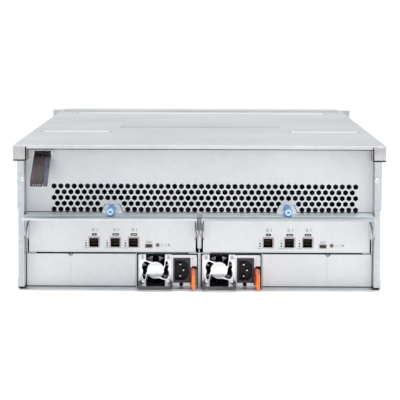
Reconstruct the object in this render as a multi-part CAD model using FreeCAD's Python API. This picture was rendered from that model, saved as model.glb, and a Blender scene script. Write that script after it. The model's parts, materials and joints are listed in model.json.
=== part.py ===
import FreeCAD
import Part

import math
import os

# Disk shelf enclosure: a steel rack shelf, four rack units high, loaded with upright disk drives
# from the top. Millimetres, +Z up. The rear face with the ports looks along -Y, the rack ears are
# at +Y, and the origin is the centre of the base's underside.

# ---- driving dimensions ----------------------------------------------------------------------
SHEET = 1.2              # thickness of every formed steel sheet
BEND = 0.8               # inner radius of the lever ledge's bends
FIT = 0.3                # gap between pieces that meet without touching

IO_WIDTH = 203.0         # I/O module
IO_HEIGHT = 47.6
IO_DEPTH = 192.0
CENTRE_SPACE = 4.5       # centre plane to the side of an I/O module
SIDE_SPACE = 3.5         # I/O module to the wall beside it

PSU_WIDTH = 73.5         # power supply
PSU_HEIGHT = 40.0
PSU_DEPTH = 185.0
PSU_SPACE = 2.0          # centre plane to the side of a power supply
DIVIDER = 1.4            # thickness of the wall beside a power supply

FAN_SIZE = 80.0          # system fan, square
FAN_DEPTH = 38.0
FAN_COUNT = 5
FAN_GAP = 3.0
FAN_RIM = 2.0            # thinnest wall round the bore
FAN_STRUT = 8.0
FAN_HUB = 17.0
FAN_SHAFT = 3.0
FAN_BLADES = 5
TIP_SPACE = 3.0          # blade tip to the bore
BLADE_PITCH = 38.0       # degrees

DRIVE_THICK = 26.1       # 3.5 inch disk drive standing on its connector end
DRIVE_WIDTH = 101.6
DRIVE_HEIGHT = 147.0
DRIVE_GAP = 7.9          # between neighbours in a row
DRIVES_IN_ROW = 12
ROW_COUNT = 5
ROW_GAP = 2.6            # drive to cage wall

BOARD = 2.0              # thickness of a circuit board
BOARD_LIFT = 6.8         # drive board above the base
SOCKET_HEIGHT = 8.0      # drive socket
SOCKET_DEPTH = 42.0
BOSS_RADIUS = 4.0        # bosses under the drive board
BOSS_IN = 12.0           # in from the top rail

PANEL_RECESS = 25.0      # vent panel and module faces, in from the rear flanges
CABLE_SPACE = 42.0       # midplane to the first cage wall
FRONT_SPACE = 45.0       # last cage wall to the front face

REAR_FLANGE = 7.0        # width of the flange at a side wall's rear end
FLANGE_TOP = 98.0        # where the wall's own flange stops and the corner bracket starts
RAIL_WIDTH = 16.0
RAIL_HEIGHT = 17.8
RAIL_OVERHANG = 6.0      # rail beyond the wall
BASE_BEND = 3.0
BASE_LIP = 14.0
REAR_FOLD = 37.0         # side wall's and bracket's rear ends, folded in and forward
BRACKET_LEG = 60.0
PANEL_FOLD = 12.0        # vent panel's top edge
PLATE_FOLD = 10.0        # side edges of the plates over the empty bays
SEAM_SIDE = 12.5         # seam between those plates, outward of their middle
SEAM_NOTCH = 3.0

BEAD_WIDTH = 6.0         # beads pressed in the cover
BEAD_RISE = 0.8
SHORT_BEAD_IN = 265.0    # from the rear edge
SHORT_BEAD = 89.0
LONG_BEAD_IN = 720.0
LONG_BEAD_SHORT = 19.0   # long bead's end to the wall's inner face
COVER_LIP = 3.0

EAR_REACH = 23.3         # rack ear beyond the wall
EAR_SHEET = 2.5
EAR_LEG = 70.0
EAR_HOLE_IN = 8.75       # slot centre in from the ear's edge
EAR_SLOT = 10.3
EAR_SLOT_RADIUS = 3.4
EAR_SPACING = 101.6

AIR_SLOTS = 16           # upright slots in the front panel
AIR_SLOT = 12.0
AIR_SLOT_LOW = 40.0
AIR_SLOT_DROP = 16.0     # slot's top below the rails

HEX_ACROSS = 6.0         # vent holes, across the flats
HEX_PITCH = 8.14
HEX_COLUMNS = 46
HEX_ROWS = 5
HEX_CENTRE = 6.5         # the hole field's centre, right of the centre plane
HEX_LOWEST = 4.6         # lowest row above the panel's lower edge
SCREW_PATCH = 11.0       # radius left without holes round a thumbscrew
TONGUE_WIDTH = 7.6       # tapered tongue between the modules, at the panel's lower edge
TONGUE_TIP = 4.4
TONGUE_DROP = 6.0

LEDGE_REACH = 66.0       # lever ledge, out from the module face
LEDGE_LIP = 2.5
PIVOT_OUT = 25.0         # lever pivot, out from the module face
PIVOT_DROP = 21.6        # lever pivot below the ledge
PIN_RADIUS = 2.5
PIN_HEAD = 1.2
RUN_FIT = 0.05           # radial running clearance of a pin or shaft
ARM_GAP = 0.5            # lever arm to the ear beside it
TAB_HEIGHT = 9.2
TAB_WIDTH = 24.0
TAB_TOP = 17.0

SCREW_RADIUS = 5.0       # blue captive thumbscrew
SCREW_OUT = 53.0         # tip, out from the vent panel
SCREW_BARREL = 49.0
SHANK_RADIUS = 2.5
SCREW_HOLE = 3.2
SCREW_NECK = 3.0         # barrel's end short of its length
SCREW_SOCKET = 2.2

PORT_WIDTH = 11.1        # mini-SAS port opening
PORT_HEIGHT = 10.7
PORT_WALL = 0.9
PORT_DEPTH = 20.0
PORT_CENTRES = (-22.3, 3.6, 25.7)
PORT_PROUD = 0.8         # cage beyond the face
PORT_LONG = 45.0
PLUG_WIDTH = 80.0        # board's plug into the midplane
PLUG_TALL = 12.0
PLUG_DEPTH = 18.0
PLUG_SOCKET = 3.0
SINK = 50.0              # heat sink, square
SINK_SIDE = -40.0        # its centre from the module's middle
SINK_IN = 95.0           # and in from the face
SINK_BASE = 5.0
SINK_TALL = 22.0
SINK_FINS = 8
SINK_FIN = 1.5
POST_SIDE = 80.0         # posts under the board
POST_IN = 25.0
POST_RADIUS = 3.0
WINDOW = 88.0            # opening in the tray's back for the plug
SOCKET_SIDE = 44.5       # service socket, from the module's middle
SOCKET_MOUTH = 7.5
SOCKET_MOUTH_TALL = 3.4
SOCKET_SHELL = 0.5
JACK_SIDE = 55.2         # round service jack
JACK_RADIUS = 2.2
JACK_BORE = 1.4
JACK_RISE = 3.2          # its axis above the board

PSU_FAN = 37.4           # the supply's own fan, square
PSU_FAN_DEPTH = 22.0
PSU_FAN_SIDE = 22.2      # fan centre from the supply's left side
PSU_BORE = 17.8
PSU_STRUT = 5.0
PSU_HUB = 9.0
PSU_SHAFT = 2.0
PSU_BLADES = 7
PSU_TIP_SPACE = 1.5
GUARD = 39.0             # finger guard, square over its lugs
GUARD_HUB = 10.5
GUARD_LUG = 3.6
INLET_SIDE = 54.3        # mains inlet centre from the supply's left side
INLET_WIDTH = 21.0
INLET_HEIGHT = 30.2
SOCKET_WIDTH = 16.4
SOCKET_TALL = 24.4
INLET_PROUD = 2.5
INLET_DEEP = 19.0
INLET_SHELL = 1.0
BLADE_WIDE = 4.0
BLADE_THICK = 2.0
LOOP_WIDTH = 41.0
LOOP_REACH = 37.0
LOOP_TURN = 7.0          # corner of the loop
LOOP_THICK = 3.6
LOOP_TALL = 4.0
LATCH_SIDE = 67.2        # latch centre from the supply's left side
LATCH_WIDTH = 6.0
LATCH_REACH = 43.0
LATCH_HEIGHT = 20.0
LATCH_LOW = 2.5          # above the supply's underside
LATCH_PIN = 1.5
LATCH_PIN_IN = 12.0      # pin, in from the supply's rear face
LATCH_PIN_SIDE = 1.2     # and right of the latch's middle
LENS_WIDTH = 6.0         # white light pipe
LENS_HEIGHT = 11.0
LENS_LOW = 25.5
LENS_IN = 0.8            # in from the supply's right side
CARD = 1.6               # edge card behind the supply
CARD_WIDTH = 40.0
CARD_RISE = 10.0
CARD_HOUSING = 10.0      # depth of the midplane's connector for it

LEVER_WIDTH = 15.0       # black release lever
LEVER_FLANGE = 5.0
LEVER_REACH = 69.0
LEVER_DROP = 36.0
LEVER_SIDE = 199.5       # its left edge, left of the centre plane
LEVER_PIN = 2.0

# ---- places worked out from them ---------------------------------------------------------------
DRIVE_PITCH = DRIVE_THICK + DRIVE_GAP
FAN_PITCH = FAN_SIZE + FAN_GAP
IO_CENTRE = CENTRE_SPACE + IO_WIDTH / 2
PSU_CENTRE = PSU_SPACE + PSU_WIDTH / 2
RAIL_INSET = RAIL_WIDTH - RAIL_OVERHANG - REAR_FLANGE
BAY_HALF = max(
    CENTRE_SPACE + IO_WIDTH + SIDE_SPACE,
    FAN_COUNT * FAN_PITCH / 2 + RAIL_INSET + FIT,
    DRIVES_IN_ROW * DRIVE_PITCH / 2 + 2 * SHEET + FIT - REAR_FLANGE,
)
WALL_HALF = BAY_HALF + REAR_FLANGE
WALL_INSIDE = WALL_HALF - SHEET
RAIL_HALF = WALL_HALF + RAIL_OVERHANG
RAIL_INNER = RAIL_HALF - RAIL_WIDTH
EAR_HALF = WALL_HALF + EAR_REACH

PSU_LOW = SHEET + FIT
SHELF_LOW = PSU_LOW + PSU_HEIGHT + FIT
SHELF_TOP = SHELF_LOW + SHEET
IO_LOW = SHELF_TOP + FIT
IO_TOP = IO_LOW + IO_HEIGHT
DECK_LOW = IO_TOP + FIT
DECK_TOP = DECK_LOW + SHEET
DRIVES_LOW = SHEET + BOARD_LIFT + BOARD + SOCKET_HEIGHT
COVER_LOW = max(DECK_TOP + FAN_SIZE, DRIVES_LOW + DRIVE_HEIGHT) + SHEET + 2 * FIT
BODY_TOP = COVER_LOW + SHEET
RAIL_LOW = COVER_LOW - RAIL_HEIGHT

BAY_DEPTH = max(IO_DEPTH, PSU_DEPTH) + 4.0
ROW_PITCH = DRIVE_WIDTH + SHEET + 2 * ROW_GAP
DEPTH = PANEL_RECESS + BAY_DEPTH + BOARD + CABLE_SPACE + ROW_COUNT * ROW_PITCH + FRONT_SPACE
REAR = -DEPTH / 2
FRONT = DEPTH / 2
FRONT_EDGE = FRONT - EAR_SHEET     # where walls, base and rails stop behind the front panel
PANEL = REAR + PANEL_RECESS
PANEL_BACK = PANEL + SHEET
MIDPLANE = PANEL + BAY_DEPTH
CAGE_REAR = MIDPLANE + BOARD + CABLE_SPACE
PIVOT_Y = PANEL - PIVOT_OUT
LEDGE_LOW = IO_TOP + FIT
LEDGE_TOP = LEDGE_LOW + SHEET
PIVOT_Z = LEDGE_LOW - PIVOT_DROP
SCREW_Z = LEDGE_TOP + 0.4 + SCREW_RADIUS
FAN_Z = DECK_TOP + FAN_SIZE / 2
PSU_FAN_Z = PSU_LOW + PSU_HEIGHT / 2
IO_BOARD_LOW = IO_LOW + SHEET + 2.5
IO_BOARD_TOP = IO_BOARD_LOW + BOARD
PORT_Z = IO_BOARD_TOP + PORT_HEIGHT / 2 + PORT_WALL
LEVER_Y = PANEL - 6.0
LEVER_Z = RAIL_LOW + 7.0

AXES = {
    "x": FreeCAD.Vector(1, 0, 0),
    "y": FreeCAD.Vector(0, 1, 0),
    "z": FreeCAD.Vector(0, 0, 1),
}


# ---- drawing helpers ---------------------------------------------------------------------------
def place(axis, u, v, w):
    """Point with u and v in the plane across the axis, in X, Y, Z order, and w along it."""
    if axis == "x":
        return FreeCAD.Vector(w, u, v)
    if axis == "y":
        return FreeCAD.Vector(u, w, v)
    return FreeCAD.Vector(u, v, w)


def block(x, y, z):
    """Box from three (low, high) pairs."""
    return Part.makeBox(x[1] - x[0], y[1] - y[0], z[1] - z[0], FreeCAD.Vector(x[0], y[0], z[0]))


def about(centre, width):
    """The (low, high) pair of a width centred on a place."""
    return (centre - width / 2, centre + width / 2)


def rod(axis, u, v, radius, span):
    """Cylinder along an axis through (u, v)."""
    return Part.makeCylinder(radius, span[1] - span[0], place(axis, u, v, span[0]), AXES[axis])


def outline(axis, corners, at):
    """Closed wire through corners (u, v, radius), each radius a tangent arc, at a place on the axis."""
    stops = []
    for index, (u, v, radius) in enumerate(corners):
        here = FreeCAD.Vector(u, v, 0)
        if radius <= 0:
            stops.append((here, None, here))
            continue
        last = corners[index - 1]
        following = corners[(index + 1) % len(corners)]
        back = (FreeCAD.Vector(last[0], last[1], 0) - here).normalize()
        ahead = (FreeCAD.Vector(following[0], following[1], 0) - here).normalize()
        half = back.getAngle(ahead) / 2
        inward = (back + ahead).normalize()
        middle = here + inward * (radius / math.sin(half) - radius)
        reach = radius / math.tan(half)
        stops.append((here + back * reach, middle, here + ahead * reach))
    edges = []
    for index, (start, middle, end) in enumerate(stops):
        following = stops[(index + 1) % len(stops)][0]
        if middle is not None:
            points = [place(axis, p.x, p.y, at) for p in (start, middle, end)]
            edges.append(Part.Arc(*points).toShape())
        if (following - end).Length > 1e-6:
            edges.append(Part.makeLine(place(axis, end.x, end.y, at),
                                       place(axis, following.x, following.y, at)))
    return Part.Wire(edges)


def ring(axis, u, v, radius, at):
    """Circular wire across an axis."""
    return Part.Wire(Part.makeCircle(radius, place(axis, u, v, at), AXES[axis]))


def facets(axis, u, v, radius, sides, at):
    """Many-sided wire round a place, for round forms that nothing runs in."""
    points = []
    for step in range(sides + 1):
        angle = math.radians(360) * (step + 0.5) / sides
        points.append(place(axis, u + radius * math.cos(angle), v + radius * math.sin(angle), at))
    return Part.makePolygon(points)


def stud(axis, u, v, radius, span, sides=8):
    """Many-sided bar along an axis."""
    return plate(axis, [facets(axis, u, v, radius, sides, span[0])], span[1] - span[0])


def rectangle(u, v, radius=0.0):
    """Corners of a rectangle from two (low, high) pairs, all rounded by one radius."""
    return [(u[0], v[0], radius), (u[1], v[0], radius), (u[1], v[1], radius), (u[0], v[1], radius)]


def plate(axis, wires, thickness):
    """Sheet cut to its first wire, pierced by the others, and extruded along the axis."""
    face = Part.makeFace(wires, "Part::FaceMakerBullseye")
    return face.extrude(AXES[axis] * thickness)


def prism(axis, corners, span):
    """Outline of (u, v) or (u, v, radius) corners extruded over a span of the axis."""
    rounded = [tuple(corner) + (0.0,) * (3 - len(corner)) for corner in corners]
    return plate(axis, [outline(axis, rounded, span[0])], span[1] - span[0])


def bent_sheet(axis, path, span, thickness=SHEET, bend=0.0):
    """Sheet folded along an open path of (u, v) points; the metal lies left of the path as it runs.

    A bend of 0 leaves the fold sharp, both inside and out."""
    steps = []
    for (u0, v0), (u1, v1) in zip(path, path[1:]):
        steps.append(FreeCAD.Vector(u1 - u0, v1 - v0, 0).normalize())
    normals = [FreeCAD.Vector(-step.y, step.x, 0) for step in steps]
    near = []
    far = []
    for index, (u, v) in enumerate(path):
        first = normals[max(index - 1, 0)]
        second = normals[min(index, len(normals) - 1)]
        offset = (first + second) * (thickness / (1 + first.dot(second)))
        inner_is_left = 0 < index < len(path) - 1 and first.cross(second).z > 0
        inner_is_right = 0 < index < len(path) - 1 and not inner_is_left
        outer = bend + thickness if bend > 0 else 0.0
        near.append((u, v, bend * inner_is_right + outer * inner_is_left))
        far.append((u + offset.x, v + offset.y, bend * inner_is_left + outer * inner_is_right))
    return plate(axis, [outline(axis, near + far[::-1], span[0])], span[1] - span[0])


def join(first, *others):
    """One solid from touching pieces."""
    return first.fuse(list(others)).removeSplitter()


def moved(shape, x=0.0, y=0.0, z=0.0):
    """Copy of a shape shifted by three distances."""
    return shape.translated(FreeCAD.Vector(x, y, z))


def mirrored(shape):
    """Copy of a right-hand shape for the left-hand side."""
    return shape.mirror(FreeCAD.Vector(0, 0, 0), AXES["x"])


def group(shapes):
    """Separate solids kept together in one node."""
    return Part.makeCompound([solid for shape in shapes for solid in shape.Solids])


def save(name, shape):
    """Write one node's STEP file, with its solids made whole."""
    if not shape.isValid():
        raise ValueError(name + " is not a valid shape")
    if len(shape.Solids) == 1:
        shape = shape.Solids[0]
    shape.exportStep(os.path.join("parts", name + ".step"))


# ---- chassis -----------------------------------------------------------------------------------
def base_tray():
    """Floor folded up at both sides, with bosses that carry the drive board."""
    lip = WALL_HALF + SHEET
    path = [(-lip, BASE_LIP), (-lip, 0), (lip, 0), (lip, BASE_LIP)]
    tray = bent_sheet("y", path, (REAR, FRONT_EDGE), bend=BASE_BEND)
    board_middle = CAGE_REAR + ROW_COUNT * ROW_PITCH / 2
    bosses = []
    for side in (-1, 1):
        for row in (-2, 0, 2):
            y = board_middle + row * ROW_PITCH
            x = side * (RAIL_INNER - BOSS_IN)
            bosses.append(stud("z", x, y, BOSS_RADIUS, (SHEET, SHEET + BOARD_LIFT), 6))
    return join(tray, *bosses)


def side_wall():
    """Right wall: its rear end is folded in and back below the corner bracket."""
    low = SHEET + BASE_BEND
    path = [(BAY_HALF, REAR + REAR_FOLD), (BAY_HALF, REAR), (WALL_HALF, REAR), (WALL_HALF, FRONT_EDGE)]
    folded = bent_sheet("z", path, (low, FLANGE_TOP))
    upper = block((WALL_INSIDE, WALL_HALF), (REAR + SHEET + FIT, FRONT_EDGE), (FLANGE_TOP, RAIL_LOW))
    return join(folded, upper)


def rear_bracket():
    """Right corner bracket wrapped round the upper part of the wall's end."""
    outside = WALL_HALF + SHEET
    path = [(BAY_HALF, REAR + REAR_FOLD), (BAY_HALF, REAR), (outside, REAR), (outside, REAR + BRACKET_LEG)]
    return bent_sheet("z", path, (FLANGE_TOP + FIT, RAIL_LOW))


def top_rail():
    """Right top rail: a box channel closed at the rear end."""
    x = (RAIL_INNER, RAIL_HALF)
    z = (RAIL_LOW, COVER_LOW)
    bar = prism("y", rectangle(x, z), (REAR, FRONT_EDGE))
    hollow = block((x[0] + SHEET, x[1] - SHEET), (REAR + SHEET, FRONT_EDGE), (z[0] + SHEET, z[1] - SHEET))
    return bar.cut(hollow)


def vent_holes():
    """Staggered rows of hexagons, left out round each thumbscrew."""
    holes = []
    for row in range(HEX_ROWS):
        z = DECK_LOW + HEX_LOWEST + row * HEX_PITCH * math.sqrt(3) / 2
        columns = HEX_COLUMNS - row % 2
        for column in range(columns):
            x = HEX_CENTRE + (column - (columns - 1) / 2) * HEX_PITCH
            if math.hypot(abs(x) - IO_CENTRE, z - SCREW_Z) > SCREW_PATCH:
                holes.append(facets("y", x, z, HEX_ACROSS / math.sqrt(3), 6, PANEL))
    return holes


def vent_panel():
    """Rear panel in front of the fans, notched round the rails, with a folded top edge."""
    wide = BAY_HALF - FIT
    narrow = RAIL_INNER - FIT
    top = COVER_LOW - FIT
    shoulder = RAIL_LOW - FIT
    root = TONGUE_WIDTH / 2
    tip = TONGUE_TIP / 2
    corners = [
        (-wide, DECK_LOW), (-root, DECK_LOW), (-tip, DECK_LOW - TONGUE_DROP), (tip, DECK_LOW - TONGUE_DROP),
        (root, DECK_LOW), (wide, DECK_LOW), (wide, shoulder), (narrow, shoulder),
        (narrow, top - SHEET), (-narrow, top - SHEET), (-narrow, shoulder), (-wide, shoulder),
    ]
    edge = outline("y", [(u, v, 0) for u, v in corners], PANEL)
    screw_holes = [facets("y", side * IO_CENTRE, SCREW_Z, SCREW_HOLE, 16, PANEL) for side in (-1, 1)]
    sheet = plate("y", [edge] + screw_holes + vent_holes(), SHEET)
    fold = block((-narrow, narrow), (PANEL, PANEL + PANEL_FOLD), (top - SHEET, top))
    return join(sheet, fold)


def module_shelf():
    """Shelf over the power supplies that carries the I/O modules."""
    half = BAY_HALF - FIT
    return block((-half, half), (PANEL, MIDPLANE), (SHELF_LOW, SHELF_TOP))


def fan_deck():
    """Sheet that carries the fans over the I/O modules."""
    half = BAY_HALF - FIT
    return block((-half, half), (PANEL_BACK, MIDPLANE), (DECK_LOW, DECK_TOP))


def centre_divider():
    """Sheet that parts the two I/O module bays."""
    return block((-SHEET / 2, SHEET / 2), (PANEL_BACK, MIDPLANE), (SHELF_TOP, DECK_LOW))


def psu_dividers():
    """Three walls beside the power supplies."""
    outer = PSU_SPACE + PSU_WIDTH + FIT
    y = (PANEL, MIDPLANE)
    z = (SHEET, SHELF_LOW)
    middle = block((-PSU_SPACE + FIT, PSU_SPACE - FIT), y, z)
    right = block((outer, outer + DIVIDER), y, z)
    return group([middle, right, mirrored(right)])


def blank_plates():
    """Two flat plates over the empty bays on the right, their inner edges folded back."""
    inner = PSU_SPACE + PSU_WIDTH + 2 * FIT + DIVIDER
    outer = BAY_HALF - FIT
    seam = (inner + outer) / 2 + SEAM_SIDE
    z = (PSU_LOW, SHELF_LOW - FIT)
    plates = []
    for low, high in ((inner, seam - FIT), (seam + FIT, outer)):
        fold = PANEL + PLATE_FOLD
        path = [(low, fold), (low, PANEL), (high, PANEL), (high, fold)]
        sheet = bent_sheet("z", path, z)
        notch = stud("y", seam, z[1], SEAM_NOTCH, (PANEL - 1, PANEL + 2 * SHEET))
        plates.append(sheet.cut(notch))
    return group(plates)


def front_panel():
    """Front sheet with upright air slots before the drives."""
    wires = [outline("y", rectangle((-WALL_HALF, WALL_HALF), (0.0, COVER_LOW)), FRONT_EDGE)]
    pitch = 2 * (RAIL_INNER - 20) / AIR_SLOTS
    for index in range(AIR_SLOTS):
        x = (index - (AIR_SLOTS - 1) / 2) * pitch
        z = (AIR_SLOT_LOW, RAIL_LOW - AIR_SLOT_DROP)
        wires.append(outline("y", rectangle(about(x, AIR_SLOT), z), FRONT_EDGE))
    return plate("y", wires, SHEET)


def rack_ear():
    """Right rack ear: an angle on the wall with two slotted holes."""
    low = BASE_LIP + FIT
    leg = block((WALL_HALF, WALL_HALF + EAR_SHEET), (FRONT - EAR_LEG, FRONT), (low, RAIL_LOW - FIT))
    middle = BODY_TOP / 2
    wires = [outline("y", rectangle((WALL_HALF, EAR_HALF), (SHEET, COVER_LOW)), FRONT_EDGE)]
    x = EAR_HALF - EAR_HOLE_IN
    for side in (-1, 1):
        u = about(x, EAR_SLOT)
        v = about(middle + side * EAR_SPACING / 2, 2 * EAR_SLOT_RADIUS)
        wires.append(outline("y", rectangle(u, v, EAR_SLOT_RADIUS), FRONT_EDGE))
    return join(plate("y", wires, EAR_SHEET), leg)


def midplane():
    """Upright board with a socket for each I/O module and power supply."""
    board = block((-BAY_HALF + 2, BAY_HALF - 2), (MIDPLANE, MIDPLANE + BOARD), (SHEET, DECK_LOW))
    pieces = [board]
    for side in (-1, 1):
        z = (IO_BOARD_TOP, IO_BOARD_TOP + PLUG_TALL)
        pieces.append(block(about(side * IO_CENTRE, PLUG_WIDTH), (MIDPLANE - PLUG_SOCKET, MIDPLANE), z))
        z = PSU_LOW + CARD_RISE
        housing = block(about(side * PSU_CENTRE, CARD_WIDTH + 6), (MIDPLANE - CARD_HOUSING, MIDPLANE),
                        about(z, 5 * CARD))
        slot = block(about(side * PSU_CENTRE, CARD_WIDTH + 2 * FIT),
                     (MIDPLANE - CARD_HOUSING - 1, MIDPLANE - 1), about(z, CARD + 2 * FIT))
        pieces.append(housing.cut(slot))
    return join(*pieces)


def drive_positions():
    """Centres of the disk drives, row by row from the rear."""
    places = []
    for row in range(ROW_COUNT):
        y = CAGE_REAR + SHEET / 2 + (row + 0.5) * ROW_PITCH
        for column in range(DRIVES_IN_ROW):
            places.append(((column - (DRIVES_IN_ROW - 1) / 2) * DRIVE_PITCH, y))
    return places


def drive_board():
    """Level board under the drives with a socket rail for each row."""
    low = SHEET + BOARD_LIFT
    length = (CAGE_REAR - 8, CAGE_REAR + ROW_COUNT * ROW_PITCH + 8)
    board = block((-RAIL_INNER + 2, RAIL_INNER - 2), length, (low, low + BOARD))
    rail_half = DRIVES_IN_ROW * DRIVE_PITCH / 2 - DRIVE_GAP
    rails = []
    for row in range(ROW_COUNT):
        y = CAGE_REAR + SHEET / 2 + (row + 0.5) * ROW_PITCH
        rails.append(block((-rail_half, rail_half), about(y, SOCKET_DEPTH), (low + BOARD, DRIVES_LOW)))
    return join(board, *rails)


def drive_cage():
    """Cross walls between the drive rows on two side plates."""
    z = (SHEET + BOARD_LIFT + BOARD, RAIL_LOW - FIT)
    end = CAGE_REAR + ROW_COUNT * ROW_PITCH + SHEET
    inside = WALL_INSIDE - SHEET
    pieces = [block((inside, WALL_INSIDE), (CAGE_REAR, end), z)]
    pieces.append(mirrored(pieces[0]))
    for row in range(ROW_COUNT + 1):
        y = CAGE_REAR + row * ROW_PITCH
        pieces.append(block((-inside, inside), (y, y + SHEET), z))
    return join(*pieces)


def disk_drives():
    """Upright drives, one solid each, standing on their sockets."""
    drives = []
    for x, y in drive_positions():
        drives.append(block(about(x, DRIVE_THICK), about(y, DRIVE_WIDTH),
                            (DRIVES_LOW, DRIVES_LOW + DRIVE_HEIGHT)))
    return group(drives)


def fan_places():
    """X of each system fan."""
    return [(index - (FAN_COUNT - 1) / 2) * FAN_PITCH for index in range(FAN_COUNT)]


def fan_frame(x, z, size, bore, y, strut, shaft):
    """Square fan frame over a span of y: a bore, a cross of struts at its inner end and a shaft post."""
    square = outline("y", rectangle(about(x, size), about(z, size)), y[0])
    frame = plate("y", [square, facets("y", x, z, bore, 16, y[0])], y[1] - y[0])
    back = (y[1] - strut / 2, y[1])
    across = block(about(x, 2 * bore + 0.5), back, about(z, strut))
    upright = block(about(x, strut), back, about(z, 2 * bore + 0.5))
    post = rod("y", x, z, shaft, (y[0] + (y[1] - y[0]) / 3, back[0]))
    return join(frame, across, upright, post)


def fan_frames():
    """The system fans' frames on the deck."""
    rear = PANEL_BACK + 2 * FIT
    bore = FAN_SIZE / 2 - FAN_RIM
    return group([fan_frame(x, FAN_Z, FAN_SIZE, bore, (rear, rear + FAN_DEPTH), FAN_STRUT, FAN_SHAFT)
                  for x in fan_places()])


def rotor(x, z, y, hub, tip, shaft, blades):
    """Fan rotor over a span of y: a hub bored for its shaft, with pitched blades out to the tip."""
    length = y[1] - y[0]
    middle = (y[0] + y[1]) / 2
    body = stud("y", x, z, hub, y, 2 * blades)
    pieces = [body.cut(rod("y", x, z, shaft + RUN_FIT, (y[0] + 2, y[1] + 1)))]
    chord = 0.8 * length
    thick = 0.045 * tip
    for index in range(blades):
        blade = block(about(x, thick), about(middle, chord), (z + hub * 0.8, z + tip))
        blade.rotate(FreeCAD.Vector(x, middle, z), AXES["z"], BLADE_PITCH)
        blade.rotate(FreeCAD.Vector(x, middle, z), AXES["y"], 360 * index / blades)
        pieces.append(blade)
    return join(*pieces)


def fan_rotor(x):
    """Rotor of one system fan."""
    rear = PANEL_BACK + 2 * FIT
    y = (rear + 6, rear + FAN_DEPTH - FAN_STRUT / 2 - 2 * FIT)
    tip = FAN_SIZE / 2 - FAN_RIM - TIP_SPACE
    return rotor(x, FAN_Z, y, FAN_HUB, tip, FAN_SHAFT, FAN_BLADES)


def cover():
    """Top cover with a rear lip, two short and one long pressed bead, and a step across it."""
    sheet = block((-RAIL_HALF, RAIL_HALF), (REAR, FRONT), (COVER_LOW, BODY_TOP))
    z = (COVER_LOW - COVER_LIP, COVER_LOW)
    lip = block((-RAIL_INNER + FIT, RAIL_INNER - FIT), (REAR, REAR + SHEET), z)
    beads = []
    z = (COVER_LOW, BODY_TOP + BEAD_RISE)
    for side in (-1, 1):
        x = about(side * (BAY_HALF - 1 - SHORT_BEAD / 2), SHORT_BEAD)
        beads.append(block(x, about(REAR + SHORT_BEAD_IN, BEAD_WIDTH), z))
    long_bead = about(0, 2 * (BAY_HALF - LONG_BEAD_SHORT))
    beads.append(block(long_bead, about(REAR + LONG_BEAD_IN, BEAD_WIDTH), z))
    return join(sheet, lip, *beads)


# ---- release lever at the upper left -----------------------------------------------------------
def lever_bracket():
    """Bracket on the vent panel: a foot, two ears and the riveted pin."""
    x = (-LEVER_SIDE - FIT - SHEET, -LEVER_SIDE + LEVER_WIDTH + LEVER_FLANGE + FIT + SHEET)
    path = [(x[0], LEVER_Y - 4), (x[0], PANEL), (x[1], PANEL), (x[1], LEVER_Y - 4)]
    ears = bent_sheet("z", path[::-1], (LEVER_Z - 5, LEVER_Z + 5))
    pin = rod("x", LEVER_Y, LEVER_Z, LEVER_PIN, (x[0] + SHEET, x[1] - SHEET))
    return join(ears, pin)


def release_lever():
    """Moulded lever hung on the bracket's pin: an eye, a sloping beam with a side flange, a hooked tip."""
    low = -LEVER_SIDE
    slope = LEVER_DROP / LEVER_REACH
    tip_y = PANEL - LEVER_REACH
    tip_z = LEVER_Z - LEVER_DROP
    beam = [
        (LEVER_Y, LEVER_Z + 4), (LEVER_Y - 8, LEVER_Z + 3), (tip_y, tip_z + 6), (tip_y, tip_z - 3),
        (tip_y + 4, tip_z - 3), (tip_y + 8, tip_z - 3 + 4 * slope), (LEVER_Y - 8, LEVER_Z - 4),
        (LEVER_Y, LEVER_Z - 4),
    ]
    body = prism("x", beam, (low, low + LEVER_WIDTH))
    eye = stud("x", LEVER_Y, LEVER_Z, 4.5, (low, low + LEVER_WIDTH + LEVER_FLANGE), 12)
    flange = [
        (LEVER_Y, LEVER_Z + 3), (tip_y + 12, tip_z + 12), (tip_y + 12, tip_z + 6), (LEVER_Y, LEVER_Z - 4),
    ]
    side = prism("x", flange, (low + LEVER_WIDTH - 1, low + LEVER_WIDTH + LEVER_FLANGE))
    finger = prism("x", [
        (tip_y, tip_z + 4), (tip_y + 5, tip_z + 4), (tip_y + 6, tip_z - 9), (tip_y + 2, tip_z - 9),
    ], (low + 3, low + LEVER_WIDTH - 3))
    bore = rod("x", LEVER_Y, LEVER_Z, LEVER_PIN + RUN_FIT, (low - 1, low + LEVER_WIDTH + LEVER_FLANGE + 1))
    return join(body, eye, side, finger).cut(bore)


# ---- I/O module, drawn about x = 0 -------------------------------------------------------------
def io_tray():
    """Tray of the module: its sides run out past the face as ears for the lever."""
    half = IO_WIDTH / 2
    path = [(-half, IO_TOP), (-half, IO_LOW), (half, IO_LOW), (half, IO_TOP)]
    end = PANEL + IO_DEPTH
    tray = bent_sheet("y", path, (PANEL, end))
    ear = [
        (PANEL + 1, PIVOT_Z - 9), (PIVOT_Y - 7, PIVOT_Z - 7, 6.5), (PIVOT_Y - 7, PIVOT_Z + 7, 6.5),
        (PANEL + 1, PIVOT_Z + 12),
    ]
    right = prism("x", ear, (half - SHEET, half))
    back = block((-half + SHEET, half - SHEET), (end - SHEET, end), (IO_LOW + SHEET, IO_TOP))
    window = block(about(0, WINDOW), (end - 2 * SHEET, end + 1), (IO_BOARD_LOW - 1, IO_BOARD_TOP + 20))
    posts = []
    for x in (-POST_SIDE, POST_SIDE):
        for y in (PANEL + POST_IN, end - POST_IN):
            posts.append(stud("z", x, y, POST_RADIUS, (IO_LOW + SHEET, IO_BOARD_LOW), 4))
    return join(tray, right, mirrored(right), back.cut(window), *posts)


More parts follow.
